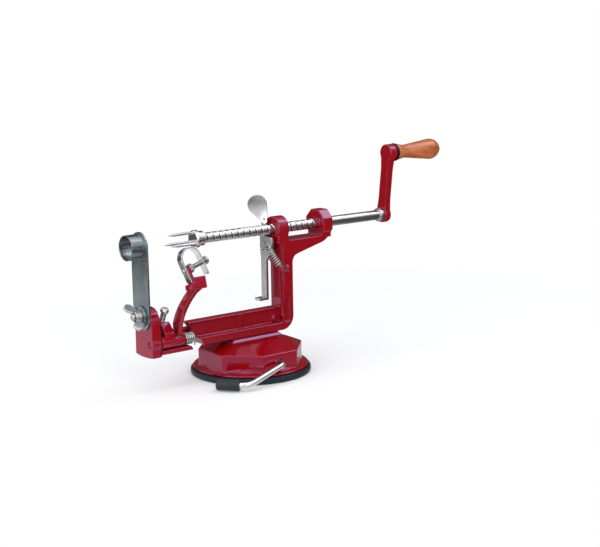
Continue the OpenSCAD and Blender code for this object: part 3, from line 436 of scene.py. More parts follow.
@dataclass(frozen=True)
class Wood:
    """Varnished turned wood with its grain along the handle."""

    name: str
    light: Colour
    dark: Colour
    pore: Colour
    roughness: tuple[float, float] = (0.28, 0.42)

    def build(self, groups: SurfaceGroups) -> bpy.types.Material:
        """Builds the material.

        Args:
            groups: The shared shader groups.

        Returns:
            The material.
        """
        shader = Shader(self.name)
        bands = shader.use(groups.drawn, Scale=330.0, Stretch=0.09)
        pores = shader.use(groups.drawn, Scale=2400.0, Stretch=0.035)
        colour = shader.mix(shader.spread(bands.outputs["Lines"]), self.dark, self.light)
        mask = shader.spread(pores.outputs["Lines"], high=0.7, start=0.58, end=0.7)
        shader.set(Base_Color=shader.mix(mask, colour, self.pore),
                   Roughness=shader.spread(bands.outputs["Lines"], *self.roughness),
                   Coat_Weight=0.3, Coat_Roughness=0.15)
        shader.bump(pores.outputs["Lines"], strength=0.25, depth=0.06)
        return shader.material


class Slot(Enum):
    """The record's material slots."""

    RED = "red_enamel"
    RUBBER = "rubber"
    GRIP = "grip_black"
    CHROME = "chrome"
    STEEL = "steel"
    DARK = "dark_steel"
    ZINC = "zinc"
    WOOD = "wood"


FINISHES = {
    Slot.RED: Enamel("red_enamel_gloss", colour=(0.3, 0.0025, 0.005), deep=(0.24, 0.0018, 0.0035),
                     rubbed=(0.34, 0.01, 0.014)),
    Slot.RUBBER: Rubber("pad_rubber", (0.008, 0.011, 0.020), (0.016, 0.02, 0.034)),
    Slot.GRIP: Rubber("grip_vinyl", (0.016, 0.021, 0.024), (0.03, 0.036, 0.04), (0.35, 0.5)),
    Slot.CHROME: Metal("bright_chrome", (0.82, 0.82, 0.84), (0.7, 0.69, 0.68), (0.08, 0.2)),
    Slot.STEEL: Metal("plain_steel", (0.62, 0.61, 0.61), (0.48, 0.47, 0.47), (0.22, 0.4),
                      line_scale=700.0, stretch=0.2),
    Slot.DARK: Metal("blackened_steel", (0.12, 0.11, 0.11), (0.07, 0.065, 0.065), (0.35, 0.5)),
    Slot.ZINC: Metal("zinc_plate", (0.30, 0.345, 0.36), (0.21, 0.245, 0.26), (0.2, 0.36),
                     line_scale=800.0, stretch=0.3),
    Slot.WOOD: Wood("turned_wood", light=(0.58, 0.165, 0.046), dark=(0.29, 0.06, 0.013),
                    pore=(0.15, 0.033, 0.008)),
}


# Object tools


def show(name: str, data: bpy.types.ID) -> Piece:
    """Adds an object to the scene.

    Args:
        name: Name of the object.
        data: The mesh, lamp or camera that it holds.

    Returns:
        The object.
    """
    holder = bpy.data.objects.new(name, data)
    bpy.context.scene.collection.objects.link(holder)
    return holder


def settled(holder: Piece) -> Mesh:
    """Takes the mesh that modifiers make, and removes them and their object.

    Args:
        holder: The object with the modifiers.

    Returns:
        The plain mesh.
    """
    graph = bpy.context.evaluated_depsgraph_get()
    result = bpy.data.meshes.new_from_object(holder.evaluated_get(graph))
    holder.modifiers.clear()
    bpy.data.objects.remove(holder)
    return result


# Geometry Nodes


class GeometryTree:
    """A Geometry Nodes tree under construction, with short calls for its nodes."""

    def __init__(self, name: str, **values: float) -> None:
        """Starts a tree with inputs for a geometry, numbers and a material, and a geometry output.

        Args:
            name: Name of the tree.
            values: Default value by name of a number input, with _ for a space in a name.
        """
        self.tree = bpy.data.node_groups.new(name, "GeometryNodeTree")
        self.ids: dict[str, str] = {}
        self._socket("Geometry", "Geometry", "INPUT")
        for label, value in values.items():
            kind = "Int" if isinstance(value, int) else "Float"
            socket = self._socket(label.replace("_", " "), kind, "INPUT")
            socket.default_value = value
        self._socket("Material", "Material", "INPUT")
        self._socket("Geometry", "Geometry", "OUTPUT")
        self.start = self.tree.nodes.new("NodeGroupInput")
        self.end = self.tree.nodes.new("NodeGroupOutput")

    def _socket(self, label: str, kind: str, way: str) -> bpy.types.NodeTreeInterfaceSocket:
        """Adds a socket to the tree's interface and notes its identifier.

        Args:
            label: Name of the socket.
            kind: Its type, as in NodeSocketFloat.
            way: INPUT or OUTPUT.

        Returns:
            The socket.
        """
        socket = self.tree.interface.new_socket(
            name=label, in_out=way, socket_type=f"NodeSocket{kind}")
        self.ids[label] = socket.identifier
        return socket

    def node(self, kind: str, **sources: object) -> Node:
        """Adds a node of a type, fills its inputs as fill does, and returns it."""
        return add_node(self.tree, kind, **sources)

    def math(self, operation: str, *values: object) -> Socket:
        """Returns the result of a math node on sockets or numbers."""
        return calc(self.tree, operation, *values)

    def close(self, geometry: Node) -> None:
        """Ends the tree: smooth shading, real meshes and the material input.

        Args:
            geometry: The node that gives the geometry.
        """
        shaded = self.node("GeometryNodeSetShadeSmooth", Geometry=geometry)
        real = self.node("GeometryNodeRealizeInstances", Geometry=shaded)
        painted = self.node("GeometryNodeSetMaterial", Geometry=real,
                            Material=self.start.outputs["Material"])
        fill(self.tree, self.end, Geometry=painted)

    def apply(self, name: str, mesh: Mesh, **values: object) -> Mesh:
        """Runs the tree on a mesh and returns the result as a plain mesh.

        Args:
            name: Name of the new mesh.
            mesh: The input mesh.
            values: Values of the inputs, with _ for a space in a name.

        Returns:
            The mesh that the tree makes.
        """
        holder = show(f"{name}_holder", mesh)
        modifier = holder.modifiers.new("nodes", "NODES")
        modifier.node_group = self.tree
        for label, value in values.items():
            modifier[self.ids[label.replace("_", " ")]] = value
        result = settled(holder)
        result.name = name
        return result


def wire_tree() -> GeometryTree:
    """Makes a tree that sweeps a round wire along a line of points.

    Returns:
        The tree.
    """
    tree = GeometryTree("wire_along_path", Wire_Radius=0.5 * MM, Sides=16)
    given = tree.start.outputs
    path = tree.node("GeometryNodeMeshToCurve", Mesh=given["Geometry"])
    ring = tree.node("GeometryNodeCurvePrimitiveCircle", Resolution=given["Sides"],
                     Radius=given["Wire Radius"])
    swept = tree.node("GeometryNodeCurveToMesh", Curve=path, Profile_Curve=ring, Fill_Caps=True)
    tree.close(swept)
    return tree


def groove_tree() -> GeometryTree:
    """Makes a tree for a round rod along +X with one helical groove cut in it.

    Returns:
        The tree.
    """
    tree = GeometryTree(
        "helical_groove_rod", Radius=4.5 * MM, Length=0.1, Pitch=6.0 * MM, Depth=1.0 * MM,
        Groove_Width=1.0 * MM, Flank_Width=0.5 * MM, Thread_Start=0.0, Thread_End=0.1,
        Run_Out=1.5 * MM, Phase=0.0, Tip=0.5 * MM, Rings=200, Sides=48)
    size = tree.start.outputs
    plus, minus, times = (partial(tree.math, kind) for kind in ("ADD", "SUBTRACT", "MULTIPLY"))
    step = partial(smooth, tree.tree)
    grid = tree.node("GeometryNodeMeshGrid", Size_X=size["Length"], Size_Y=1.0,
                     Vertices_X=size["Rings"], Vertices_Y=size["Sides"])
    place = tree.node("ShaderNodeSeparateXYZ", Vector=tree.node("GeometryNodeInputPosition"))
    along = plus(place.outputs["X"], times(size["Length"], 0.5))
    lap = plus(place.outputs["Y"], 0.5)
    wound = minus(lap, tree.math("DIVIDE", along, size["Pitch"]))
    # Whole turns keep the phase above zero, and a half one puts the groove at its middle.
    phase = tree.math("FRACT", plus(wound, plus(size["Phase"], 1000.5)))
    apart = times(tree.math("ABSOLUTE", minus(phase, 0.5)), size["Pitch"])
    half = times(size["Groove Width"], 0.5)
    wall = step(apart, minus(half, size["Flank Width"]), half)
    begun = step(along, size["Thread Start"], plus(size["Thread Start"], size["Run Out"]))
    ended = step(along, minus(size["Thread End"], size["Run Out"]), size["Thread End"])
    share = times(times(begun, minus(1.0, ended)), minus(1.0, wall))
    # The share is also stored so that the metal finishes can paint shade into the grooves.
    marked = tree.node("GeometryNodeStoreNamedAttribute", Geometry=grid, Name=GROOVE, Value=share)
    to_end = tree.math("MINIMUM", along, minus(size["Length"], along))
    chamfer = tree.math("MAXIMUM", minus(size["Tip"], to_end), 0.0)
    radius = tree.math("MINIMUM", minus(size["Radius"], times(size["Depth"], share)),
                       minus(size["Radius"], chamfer))
    angle = times(lap, 2.0 * math.pi)
    moved = tree.node("ShaderNodeCombineXYZ", X=along, Y=times(radius, tree.math("COSINE", angle)),
                      Z=times(radius, tree.math("SINE", angle)))
    bent = tree.node("GeometryNodeSetPosition", Geometry=marked, Position=moved)
    sewn = tree.node("GeometryNodeMergeByDistance", Geometry=bent, Distance=0.001 * MM)
    tree.close(sewn)
    return tree


# Mesh tools

# Angles in degrees at which an edge is shaded sharp, on turned pieces, wires and CAD copies.
SHARP = 32.0
WIRE_SHARP = 50.0
CAD_SHARP = 35.0
# Angles in degrees up to which faces count as one, and from which an edge is rounded.
FLAT = 1.0
ROUND_FROM = 28.0
# Distances in millimetres within which points count as one, on made meshes and CAD copies.
SAME = 0.0005
CAD_SAME = 0.002
# Share of a rounding's width that a point may stray from the CAD surface.
STRAY = 0.5


def mesh_from(name: str, points: list[Vector], faces: list[list[int]],
              edges: list[tuple[int, int]] | None = None) -> Mesh:
    """Makes a mesh.

    Args:
        name: Name of the mesh.
        points: Its points, in metres.
        faces: The points of each face.
        edges: The ends of each loose edge.

    Returns:
        The mesh.
    """
    mesh = bpy.data.meshes.new(name)
    mesh.from_pydata([tuple(p) for p in points], edges or [], faces)
    mesh.validate()
    return mesh


def tidy_shell(mesh: Mesh, sharp: float = SHARP) -> Mesh:
    """Merges doubles, closes end holes, turns faces outwards and shades them smooth.

    Args:
        mesh: The mesh to change.
        sharp: Degrees at which an edge stays sharp.

    Returns:
        The same mesh.
    """
    work = bmesh.new()
    work.from_mesh(mesh)
    bmesh.ops.remove_doubles(work, verts=work.verts, dist=SAME * MM)
    rim = [e for e in work.edges if e.is_boundary]
    if rim:
        bmesh.ops.holes_fill(work, edges=rim, sides=0)
    bmesh.ops.recalc_face_normals(work, faces=work.faces)
    work.to_mesh(mesh)
    work.free()
    mesh.shade_smooth()
    mesh.set_sharp_from_angle(angle=math.radians(sharp))
    return mesh


def lathe(name: str, profile: list[tuple[float, float]], place: Matrix, closed: bool = False,
          sides: int = 96) -> Mesh:
    """Turns a half outline about an axis.

    Args:
        name: Name of the mesh.
        profile: Pairs of distance along the axis and radius, in millimetres.
        place: Matrix that takes +Z to the axis, in metres.
        closed: Whether the outline is a loop, as that of a bored piece is.
        sides: Number of steps round the axis.

    Returns:
        A closed mesh.
    """
    points = []
    for height, radius in profile:
        for side in range(sides):
            angle = 2.0 * math.pi * side / sides
            spot = Vector((radius * math.cos(angle), radius * math.sin(angle), height))
            points.append(place @ (spot * MM))
    faces = []
    count = len(profile)
    for ring in range(count if closed else count - 1):
        low, high = ring * sides, (ring + 1) % count * sides
        for side in range(sides):
            after = (side + 1) % sides
            faces.append([low + side, low + after, high + after, high + side])
    return tidy_shell(mesh_from(name, points, faces))


def quad(a: Coords, b: Coords, c: Coords, steps: int) -> list[Coords]:
    """Draws a quadratic curve.

    Args:
        a: Its first point.
        b: The point that it is drawn towards.
        c: Its last point.
        steps: Number of steps.

    Returns:
        The points of the curve.
    """
    line = []
    for step in range(steps + 1):
        t = step / steps
        line.append(tuple((1 - t) ** 2 * p + 2 * t * (1 - t) * q + t * t * r
                          for p, q, r in zip(a, b, c)))
    return line


def dome(radius: float, high: float, rim: float, top_r: float) -> list[tuple[float, float]]:
    """Returns the half outline of a domed screw head.

    Args:
        radius: Radius of the head.
        high: Height of the head.
        rim: Height at which the dome starts.
        top_r: Radius of the flat on top.

    Returns:
        Pairs of height and radius, in millimetres.
    """
    profile = [(0.0, 0.0), *quad((0.0, radius - 0.2), (0.0, radius), (0.3, radius), 3)]
    profile += [*quad((rim, radius), (high, radius), (high, top_r), 12), (high, 0.0)]
    return profile


def helix(start: Point, end: Point, radius: float, turns: float, side: Point,
          per_turn: int = 24) -> list[Point]:
    """Winds a right hand helix, in millimetres.

    Args:
        start: Start of its axis.
        end: End of its axis.
        radius: Its radius.
        turns: Number of turns.
        side: The side on which it starts.
        per_turn: Number of steps in a turn.

    Returns:
        The points of the helix.
    """
    first, last = Vector(start), Vector(end)
    axis = (last - first).normalized()
    u = (Vector(side) - axis * axis.dot(Vector(side))).normalized()
    v = axis.cross(u)
    steps = round(turns * per_turn)
    line = []
    for step in range(steps + 1):
        t = step / steps
        angle = 2.0 * math.pi * turns * t
        out = math.cos(angle) * u + math.sin(angle) * v
        line.append(tuple(first + (last - first) * t + radius * out))
    return line


def shift(x: float, y: float, z: float) -> Matrix:
    """Returns a move by millimetres."""
    return Matrix.Translation(Vector((x, y, z)) * MM)


def turn(degrees: float, axis: str) -> Matrix:
    """Returns a turn about one of the frame's axes."""
    return Matrix.Rotation(math.radians(degrees), 4, axis)


def joined(name: str, meshes: list[Mesh]) -> Mesh:
    """Joins meshes.

    Args:
        name: Name of the mesh.
        meshes: The meshes to join.

    Returns:
        One mesh that holds them all.
    """
    work = bmesh.new()
    for mesh in meshes:
        work.from_mesh(mesh)
    result = bpy.data.meshes.new(name)
    work.to_mesh(result)
    work.free()
    result.set_sharp_from_angle(angle=math.radians(SHARP))
    return result


def rounded(source: Piece, width: float, steps: int = 3) -> Mesh:
    """Returns a copy of a piece with its edges rounded off.

    Args:
        source: The piece to copy.
        width: Width of the rounding in millimetres.
        steps: Number of faces across the rounding.

    Returns:
        The rounded mesh.
    """
    mesh = source.data.copy()
    work = bmesh.new()
    work.from_mesh(mesh)
    bmesh.ops.remove_doubles(work, verts=work.verts, dist=CAD_SAME * MM)
    bmesh.ops.dissolve_limit(work, angle_limit=math.radians(FLAT), verts=work.verts,
                             edges=work.edges)
    work.to_mesh(mesh)
    work.free()
    mesh.shade_smooth()
    mesh.set_sharp_from_angle(angle=math.radians(CAD_SHARP))
    holder = show(f"{source.name}_holder", mesh)
    bevel = holder.modifiers.new("round", "BEVEL")
    bevel.width = width * MM
    bevel.segments = steps
    bevel.limit_method = "ANGLE"
    bevel.angle_limit = math.radians(ROUND_FROM)
    bevel.use_clamp_overlap = False
    bevel.miter_outer = "MITER_ARC"
    weights = holder.modifiers.new("weights", "WEIGHTED_NORMAL")
    weights.keep_sharp = False
    result = settled(holder)
    surface = BVHTree.FromPolygons([v.co for v in source.data.vertices],
                                   [f.vertices for f in source.data.polygons])
    for vertex in result.vertices:
        near, _, _, gap = surface.find_nearest(vertex.co)
        if gap > STRAY * width * MM:
            vertex.co = near
    return result


# Workshop

# Inputs of the groove's tree that aren't lengths.
PLAIN_INPUTS = ("Rings", "Sides", "Phase")
# Thread forms in millimetres.
COARSE = {"Pitch": 1.0, "Depth": 0.45, "Groove_Width": 0.85, "Flank_Width": 0.42}
FINE = {"Pitch": 0.7, "Depth": 0.3, "Groove_Width": 0.6, "Flank_Width": 0.3}


@dataclass(frozen=True)
class Soft:
    """A CAD node that is shown with rounded edges, their width in millimetres."""

    node: str
    body: str
    slot: Slot
    width: float


@dataclass
class Workshop:
    """What every sub-assembly works with: the CAD nodes, the materials and the node trees."""

    nodes: dict[str, Piece]
    palette: dict[Slot, bpy.types.Material]
    wire: GeometryTree
    groove: GeometryTree

    def dress(self, slot: Slot, *names: str) -> None:
        """Gives CAD nodes the material of a slot.

        Args:
            slot: The slot.
            names: The nodes.
        """
        for name in names:
            node = self.nodes[name]
            if not node.material_slots:
                node.data.materials.append(self.palette[slot])
            for place in node.material_slots:
                place.material = self.palette[slot]
            LOG.info("dressed %s as %s", name, slot.value)

    def add(self, mesh: Mesh, body: str, slot: Slot, *replaced: str) -> Piece:
        """Adds a piece that rides on a body and stands for CAD nodes.

        Args:
            mesh: The piece's mesh, placed in the shared frame.
            body: The body that carries it.
            slot: The slot that it takes its finish from.
            replaced: The CAD nodes that it stands for.

        Returns:
            The new object.
        """
        mesh.materials.clear()
        mesh.materials.append(self.palette[slot])
        piece = show(mesh.name, mesh)
        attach(piece, body)
        if replaced:
            self.dress(slot, *replaced)
            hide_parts(*replaced)
        LOG.info("added %s on %s with %d faces", piece.name, body, len(mesh.polygons))
        return piece

    def round_off(self, soft: Soft) -> Piece:
        """Adds a copy of a CAD node with rounded edges.

        Args:
            soft: The node and its rounding.

        Returns:
            The new object.
        """
        mesh = rounded(self.nodes[soft.node], soft.width)
        mesh.name = f"{soft.node}_rounded"
        return self.add(mesh, soft.body, soft.slot, soft.node)

    def wire_along(self, name: str, path: list[Point], diameter: float, slot: Slot,
                   sides: int = 20) -> Mesh:
        """Sweeps a round wire.

        Args:
            name: Name of the mesh.
            path: Points of its middle, in millimetres.
            diameter: Its thickness, in millimetres.
            slot: The slot that it takes its finish from.
            sides: Number of steps round the wire.

        Returns:
            The mesh.
        """
        points = [Vector(p) * MM for p in path]
        steps = [(i, i + 1) for i in range(len(points) - 1)]
        line = mesh_from(f"{name}_path", points, [], steps)
        mesh = self.wire.apply(name, line, Wire_Radius=0.5 * diameter * MM, Sides=sides,
                               Material=self.palette[slot])
        return tidy_shell(mesh, WIRE_SHARP)

    def threaded_rod(self, name: str, place: Matrix, slot: Slot, **sizes: float) -> Mesh:
        """Makes a rod with a helical groove.

        Args:
            name: Name of the mesh.
            place: Matrix of its start, with the rod along +X.
            slot: The slot that it takes its finish from.
            sizes: Inputs of the groove's tree, with lengths in millimetres.

        Returns:
            The mesh.
        """
        values = {label: size if label in PLAIN_INPUTS else size * MM
                  for label, size in sizes.items()}
        seed = mesh_from(f"{name}_seed", [Vector()], [])
        mesh = self.groove.apply(name, seed, Material=self.palette[slot], **values)
        mesh.transform(place)
        return tidy_shell(mesh, WIRE_SHARP)


@dataclass
class Part:
    """A sub-assembly: nodes with rounded edges, pieces made anew and nodes that stay plain."""

    shop: Workshop
    soft: ClassVar[tuple[Soft, ...]] = ()
    plain: ClassVar[dict[Slot, tuple[str, ...]]] = {}

    def build(self) -> None:
        """Adds all pieces and gives the plain nodes their finish."""
        for soft in self.soft:
            self.shop.round_off(soft)
        self.make()
        for slot, names in self.plain.items():
            self.shop.dress(slot, *names)

    def make(self) -> None:
        """Adds the pieces made anew, where there are any."""


# Base


@dataclass
class Base(Part):
    """The cup, the rubber pad and the lever that works the suction."""

    soft = (Soft("base_cup", "frame", Slot.RED, 1.2),)
    plain = {Slot.STEEL: ("base_screws", "suction_cam", "shaft_clip", "pull_stud")}
    pad_r: float = 52.5
    pad_h: float = 5.5
    cavity_r: float = 39.96
    shaft_z: float = 15.5
    shaft_end_y: float = 37.96
    out_y: float = -49.46
    rod_d: float = 5.0
    bend: Point = (-44.0, -57.06, 5.5)
    grip_way: Point = (-0.62524, 0.78043, 0.0)
    tip_l: float = 7.8
    grip_l: float = 20.0
    grip_r: float = 5.0
    grip_bore_r: float = 2.52
    bend_l: float = 7.0

    def make(self) -> None:
        """Adds the pad, the lever and its sleeve."""
        self.shop.add(self._pad(), "frame", Slot.RUBBER, "suction_pad")
        self.shop.add(self._rod(), "suction", Slot.CHROME, "suction_lever")
        self.shop.add(self._grip(), "suction", Slot.GRIP, "lever_grip")

    def _pad(self) -> Mesh:
        """Makes the pad with its rolled rim and the sealing grooves below.

        Returns:
            The mesh.
        """
        rim, high, mid = self.pad_r, self.pad_h, 0.45 * self.pad_h
        profile = [(0.0, 0.0)]
        for groove_r in (0.62 * rim, 0.82 * rim):
            profile += [(0.0, groove_r - 1.0), (0.7, groove_r - 0.7), (0.7, groove_r + 0.7),
                        (0.0, groove_r + 1.0)]
        roll = rim - 1.6
        profile += quad((0.0, roll), (0.2, rim), (mid, rim), 10)
        profile += quad((mid, rim), (high, rim), (high, roll), 10)
        profile += [(high, self.cavity_r + 0.5), (high - 0.5, self.cavity_r - 1.0),
                    (high - 0.5, 0.0)]
        return lathe("suction_pad_moulded", profile, Matrix.Identity(4), sides=128)

    def _rod(self) -> Mesh:
        """Makes the shaft and the bent rod as one smooth wire.

        Returns:
            The mesh.
        """
        corner = Vector((0.0, self.out_y, self.shaft_z))
        low, way = Vector(self.bend), Vector(self.grip_way)
        out = (low - corner).normalized()
        path = [(0.0, self.shaft_end_y, self.shaft_z)]
        inner = corner + Vector((0.0, self.bend_l, 0.0))
        path += quad(inner, corner, corner + self.bend_l * out, 14)
        path += quad(low - self.bend_l * out, low, low + self.bend_l * way, 14)
        path += [tuple(low + (self.tip_l + self.grip_l - 3.0) * way)]
        return self.shop.wire_along("suction_lever_rod", path, self.rod_d, Slot.CHROME, 28)

    def _grip(self) -> Mesh:
        """Makes the sleeve on the lever's end.

        Returns:
            The mesh.
        """
        end, r, bore = self.grip_l, self.grip_r, self.grip_bore_r
        profile = [(end - 2.0, 0.0), (end - 2.0, bore), (0.0, bore)]
        profile += quad((0.0, r - 1.3), (0.0, r), (1.5, r), 6)
        profile += [*quad((end - 2.2, r), (end, r), (end, r - 2.2), 8), (end, 0.0)]
        way = Vector(self.grip_way)
        start = shift(*(Vector(self.bend) + self.tip_l * way))
        place = start @ way.to_track_quat("Z", "Y").to_matrix().to_4x4()
        return lathe("lever_grip_sleeve", profile, place, sides=64)


# Frame


@dataclass
class Frame(Part):
    """The red casting and the pins that are fixed in it."""

    soft = (Soft("frame_casting", "frame", Slot.RED, 0.9),)
    plain = {Slot.RED: ("arm_pivot_pin",), Slot.STEEL: ("lever_pivot",)}


# Drive screw


@dataclass
class Drive(Part):
    """The screw with its coarse thread, the fork and the collar."""

    soft = (Soft("prong_fork", "screw", Slot.CHROME, 0.25),
            Soft("thrust_washer", "screw_slide", Slot.CHROME, 0.3))
    screw_z: float = 122.0
    screw_d: float = 9.0
    start_x: float = -56.0
    end_x: float = 160.0
    thread_from: float = -48.0
    thread_to: float = 80.0
    pitch: float = 6.35
    groove_w: float = 1.6
    groove_depth: float = 1.0
    tooth_x: float = 22.25

    def make(self) -> None:
        """Adds the screw with its helical groove."""
        self.shop.add(self._screw(), "screw", Slot.CHROME, "drive_screw")

    def _screw(self) -> Mesh:
        """Makes the screw, its groove facing +Y at the lever's tooth.

        Returns:
            The mesh.
        """
        length = self.end_x - self.start_x
        phase = (self.tooth_x - self.start_x) / self.pitch
        return self.shop.threaded_rod(
            "drive_screw_thread", shift(self.start_x, 0.0, self.screw_z), Slot.CHROME,
            Radius=0.5 * self.screw_d, Length=length, Pitch=self.pitch, Depth=self.groove_depth,
            Groove_Width=self.groove_w, Flank_Width=0.5, Phase=phase, Run_Out=2.0, Tip=0.6,
            Thread_Start=self.thread_from - self.start_x,
            Thread_End=self.thread_to - self.start_x, Rings=900, Sides=64)


# Crank


@dataclass
class Crank(Part):
    """The crank and its turned wooden handle."""

    soft = (Soft("crank_arm", "screw", Slot.RED, 1.1), Soft("handle_pin", "screw", Slot.STEEL, 0.4))
    plain = {Slot.STEEL: ("crank_pin",), Slot.DARK: ("handle_washer",)}
    axis_y: float = -7.068
    axis_z: float = 179.568
    handle_x: float = 164.1
    handle_l: float = 53.0
    big_r: float = 9.6
    bore_r: float = 2.56
    neck_z: float = 12.5
    end_l: float = 9.5
    pocket_r: float = 3.9
    pocket_h: float = 2.8

    def make(self) -> None:
        """Adds the handle with its turned outline."""
        self.shop.add(self._handle(), "crank_handle", Slot.WOOD, "handle")

    def _handle(self) -> Mesh:
        """Makes the handle: a bead, a neck, a swelling grip and a rounded end.

        Returns:
            The mesh.
        """
        big, long = self.big_r, self.handle_l
        bead, neck, tip = 0.75 * big, 0.63 * big, 0.54 * big
        profile = quad((0.0, bead - 0.8), (1.4, bead + 0.6), (4.6, bead - 0.1), 12)
        profile += quad((5.0, bead - 0.2), (8.0, neck + 0.1), (self.neck_z, neck), 12)
        swell = long - self.end_l
        profile += quad((self.neck_z + 0.6, neck + 0.1), (23.5, 0.76 * big), (swell, big), 24)
        profile += quad((swell + 0.2, big), (long - 4.5, 0.98 * big), (long - 0.7, tip + 0.8), 16)
        profile += quad((long - 0.6, tip + 0.7), (long, tip + 0.3), (long, tip - 0.4), 5)
        floor = long - self.pocket_h
        profile += [(long, self.pocket_r), (floor, self.pocket_r), (floor, self.bore_r),
                    (0.0, self.bore_r)]
        place = shift(self.handle_x, self.axis_y, self.axis_z) @ turn(90.0, "Y")
        return lathe("handle_turned", profile, place, closed=True)


# Peeler arm


@dataclass
class PeelerArm(Part):
    """The swinging arm with its spring, its stop screw and the peeling blade."""

    soft = (Soft("peeler_arm", "arm", Slot.RED, 0.9),
            Soft("peeling_blade", "arm", Slot.CHROME, 0.25),
            Soft("blade_nut", "arm", Slot.STEEL, 0.25))
    plain = {Slot.DARK: ("head_set_screw",)}
    pivot_y: float = -9.0
    pivot_z: float = 41.5
    coil_from: float = -75.1
    coil_to: float = -67.0
    coil_r: float = 4.3
    coil_turns: float = 4.5
    wire_d: float = 1.3
    stop_at: Point = (-91.0, 8.0, 39.2)
    stop_tilt: float = 26.6
    stop_l: float = 30.5
    stop_head_r: float = 3.6
    stop_r: float = 2.5
    stop_head_h: float = 3.4
    head_at: Point = (-80.25, -36.5, 103.5)
    head_lean: float = -15.0
    head_turn: float = -17.5
    blade_out_r: float = 9.6
    bolt_z: float = 3.5
    bolt_r: float = 2.0
    bolt_head_r: float = 3.6
    bolt_head_h: float = 2.6

    def make(self) -> None:
        """Adds the spring and the threaded screws."""
        self.shop.add(self._spring(), "arm", Slot.STEEL, "arm_spring")
        self.shop.add(self._stop_screw(), "arm", Slot.STEEL, "arm_stop_screw")
        self.shop.add(self._blade_bolt(), "arm", Slot.STEEL, "blade_bolt")

    def _spring(self) -> Mesh:
        """Makes the torsion spring with its leg.

        Returns:
            The mesh.
        """
        start = (self.coil_from, self.pivot_y, self.pivot_z)
        end = (self.coil_to, self.pivot_y, self.pivot_z)
        coil = helix(start, end, self.coil_r, self.coil_turns, (0.0, 1.0, 0.0))
        hook = Vector(coil[0]) - Vector((self.wire_d + 0.05, 0.0, 0.0))
        leg = Vector(coil[-1]) - Vector((0.0, 0.0, 5.5))
        path = [tuple(hook), *coil, tuple(leg)]
        return self.shop.wire_along("arm_spring_coil", path, self.wire_d, Slot.STEEL)

    def _stop_screw(self) -> Mesh:
        """Makes the stop screw: a threaded rod with a domed head.

        Returns:
            The mesh.
        """
        place = shift(*self.stop_at) @ turn(self.stop_tilt, "X")
        rod = self.shop.threaded_rod(
            "stop_screw_rod", place @ turn(-90.0, "Y"), Slot.STEEL, Radius=self.stop_r,
            Length=self.stop_l + 0.2, Thread_Start=0.5, Thread_End=self.stop_l, Run_Out=0.6,
            Tip=0.5, Rings=370, Sides=32, **COARSE)
        profile = dome(self.stop_head_r, self.stop_head_h, 0.8, 0.25 * self.stop_head_r)
        place = place @ shift(0.0, 0.0, self.stop_l)
        head = lathe("stop_screw_head", profile, place, sides=64)
        return joined("arm_stop_screw_threaded", [rod, head])

    def _blade_bolt(self) -> Mesh:
        """Makes the bolt through the blade: a threaded rod with a domed end.

        Returns:
            The mesh.
        """
        place = shift(*self.head_at) @ turn(self.head_lean, "X") @ turn(self.head_turn, "Y")
        start, stop = -self.blade_out_r - 1.4, self.blade_out_r + 3.0
        rod = self.shop.threaded_rod(
            "blade_bolt_rod", place @ shift(start, 0.0, self.bolt_z), Slot.STEEL,
            Radius=self.bolt_r, Length=stop - start + 0.2, Thread_Start=0.4,
            Thread_End=stop - start, Run_Out=0.5, Tip=0.4, Rings=330, Sides=32, **FINE)
        profile = dome(self.bolt_head_r, self.bolt_head_h, 0.6, 0.7)
        place = place @ shift(stop, 0.0, self.bolt_z) @ turn(90.0, "Y")
        head = lathe("blade_bolt_head", profile, place, sides=48)
        return joined("blade_bolt_threaded", [rod, head])


# Slicer


@dataclass
class Slicer(Part):
    """The knife with its coring ring and what clamps it."""

    soft = (Soft("slicing_blade", "slicer", Slot.ZINC, 0.2),
            Soft("slicer_washer", "slicer", Slot.ZINC, 0.25),
            Soft("wing_nut", "wing", Slot.STEEL, 0.6))
    bolt_z: float = 64.5
    bolt_from: float = -118.6
    bolt_to: float = -99.5
    bolt_r: float = 3.0
    head_r: float = 5.5
    head_h: float = 3.0
    chamfer: float = 0.4

    def make(self) -> None:
        """Adds the threaded bolt."""
        self.shop.add(self._bolt(), "frame", Slot.STEEL, "slicer_bolt")

    def _bolt(self) -> Mesh:
        """Makes the bolt: a threaded rod with a six sided head.

        Returns:
            The mesh.
        """
        long = self.bolt_to - self.bolt_from
        rod = self.shop.threaded_rod(
            "slicer_bolt_rod", shift(self.bolt_from, 0.0, self.bolt_z), Slot.STEEL,
            Radius=self.bolt_r, Length=long + 0.2, Thread_Start=0.6, Thread_End=long - 1.0,
            Run_Out=0.8, Tip=0.6, Rings=230, Sides=40, **COARSE)
        r, high, cut = self.head_r, self.head_h, self.chamfer
        profile = [(0.0, 0.0), (0.0, r), (high - cut, r), (high, r - cut), (high, 0.0)]
        place = shift(self.bolt_to, 0.0, self.bolt_z) @ turn(90.0, "Y")
        head = lathe("slicer_bolt_head", profile, place, sides=6)
        return joined("slicer_bolt_threaded", [rod, head])


# Release lever


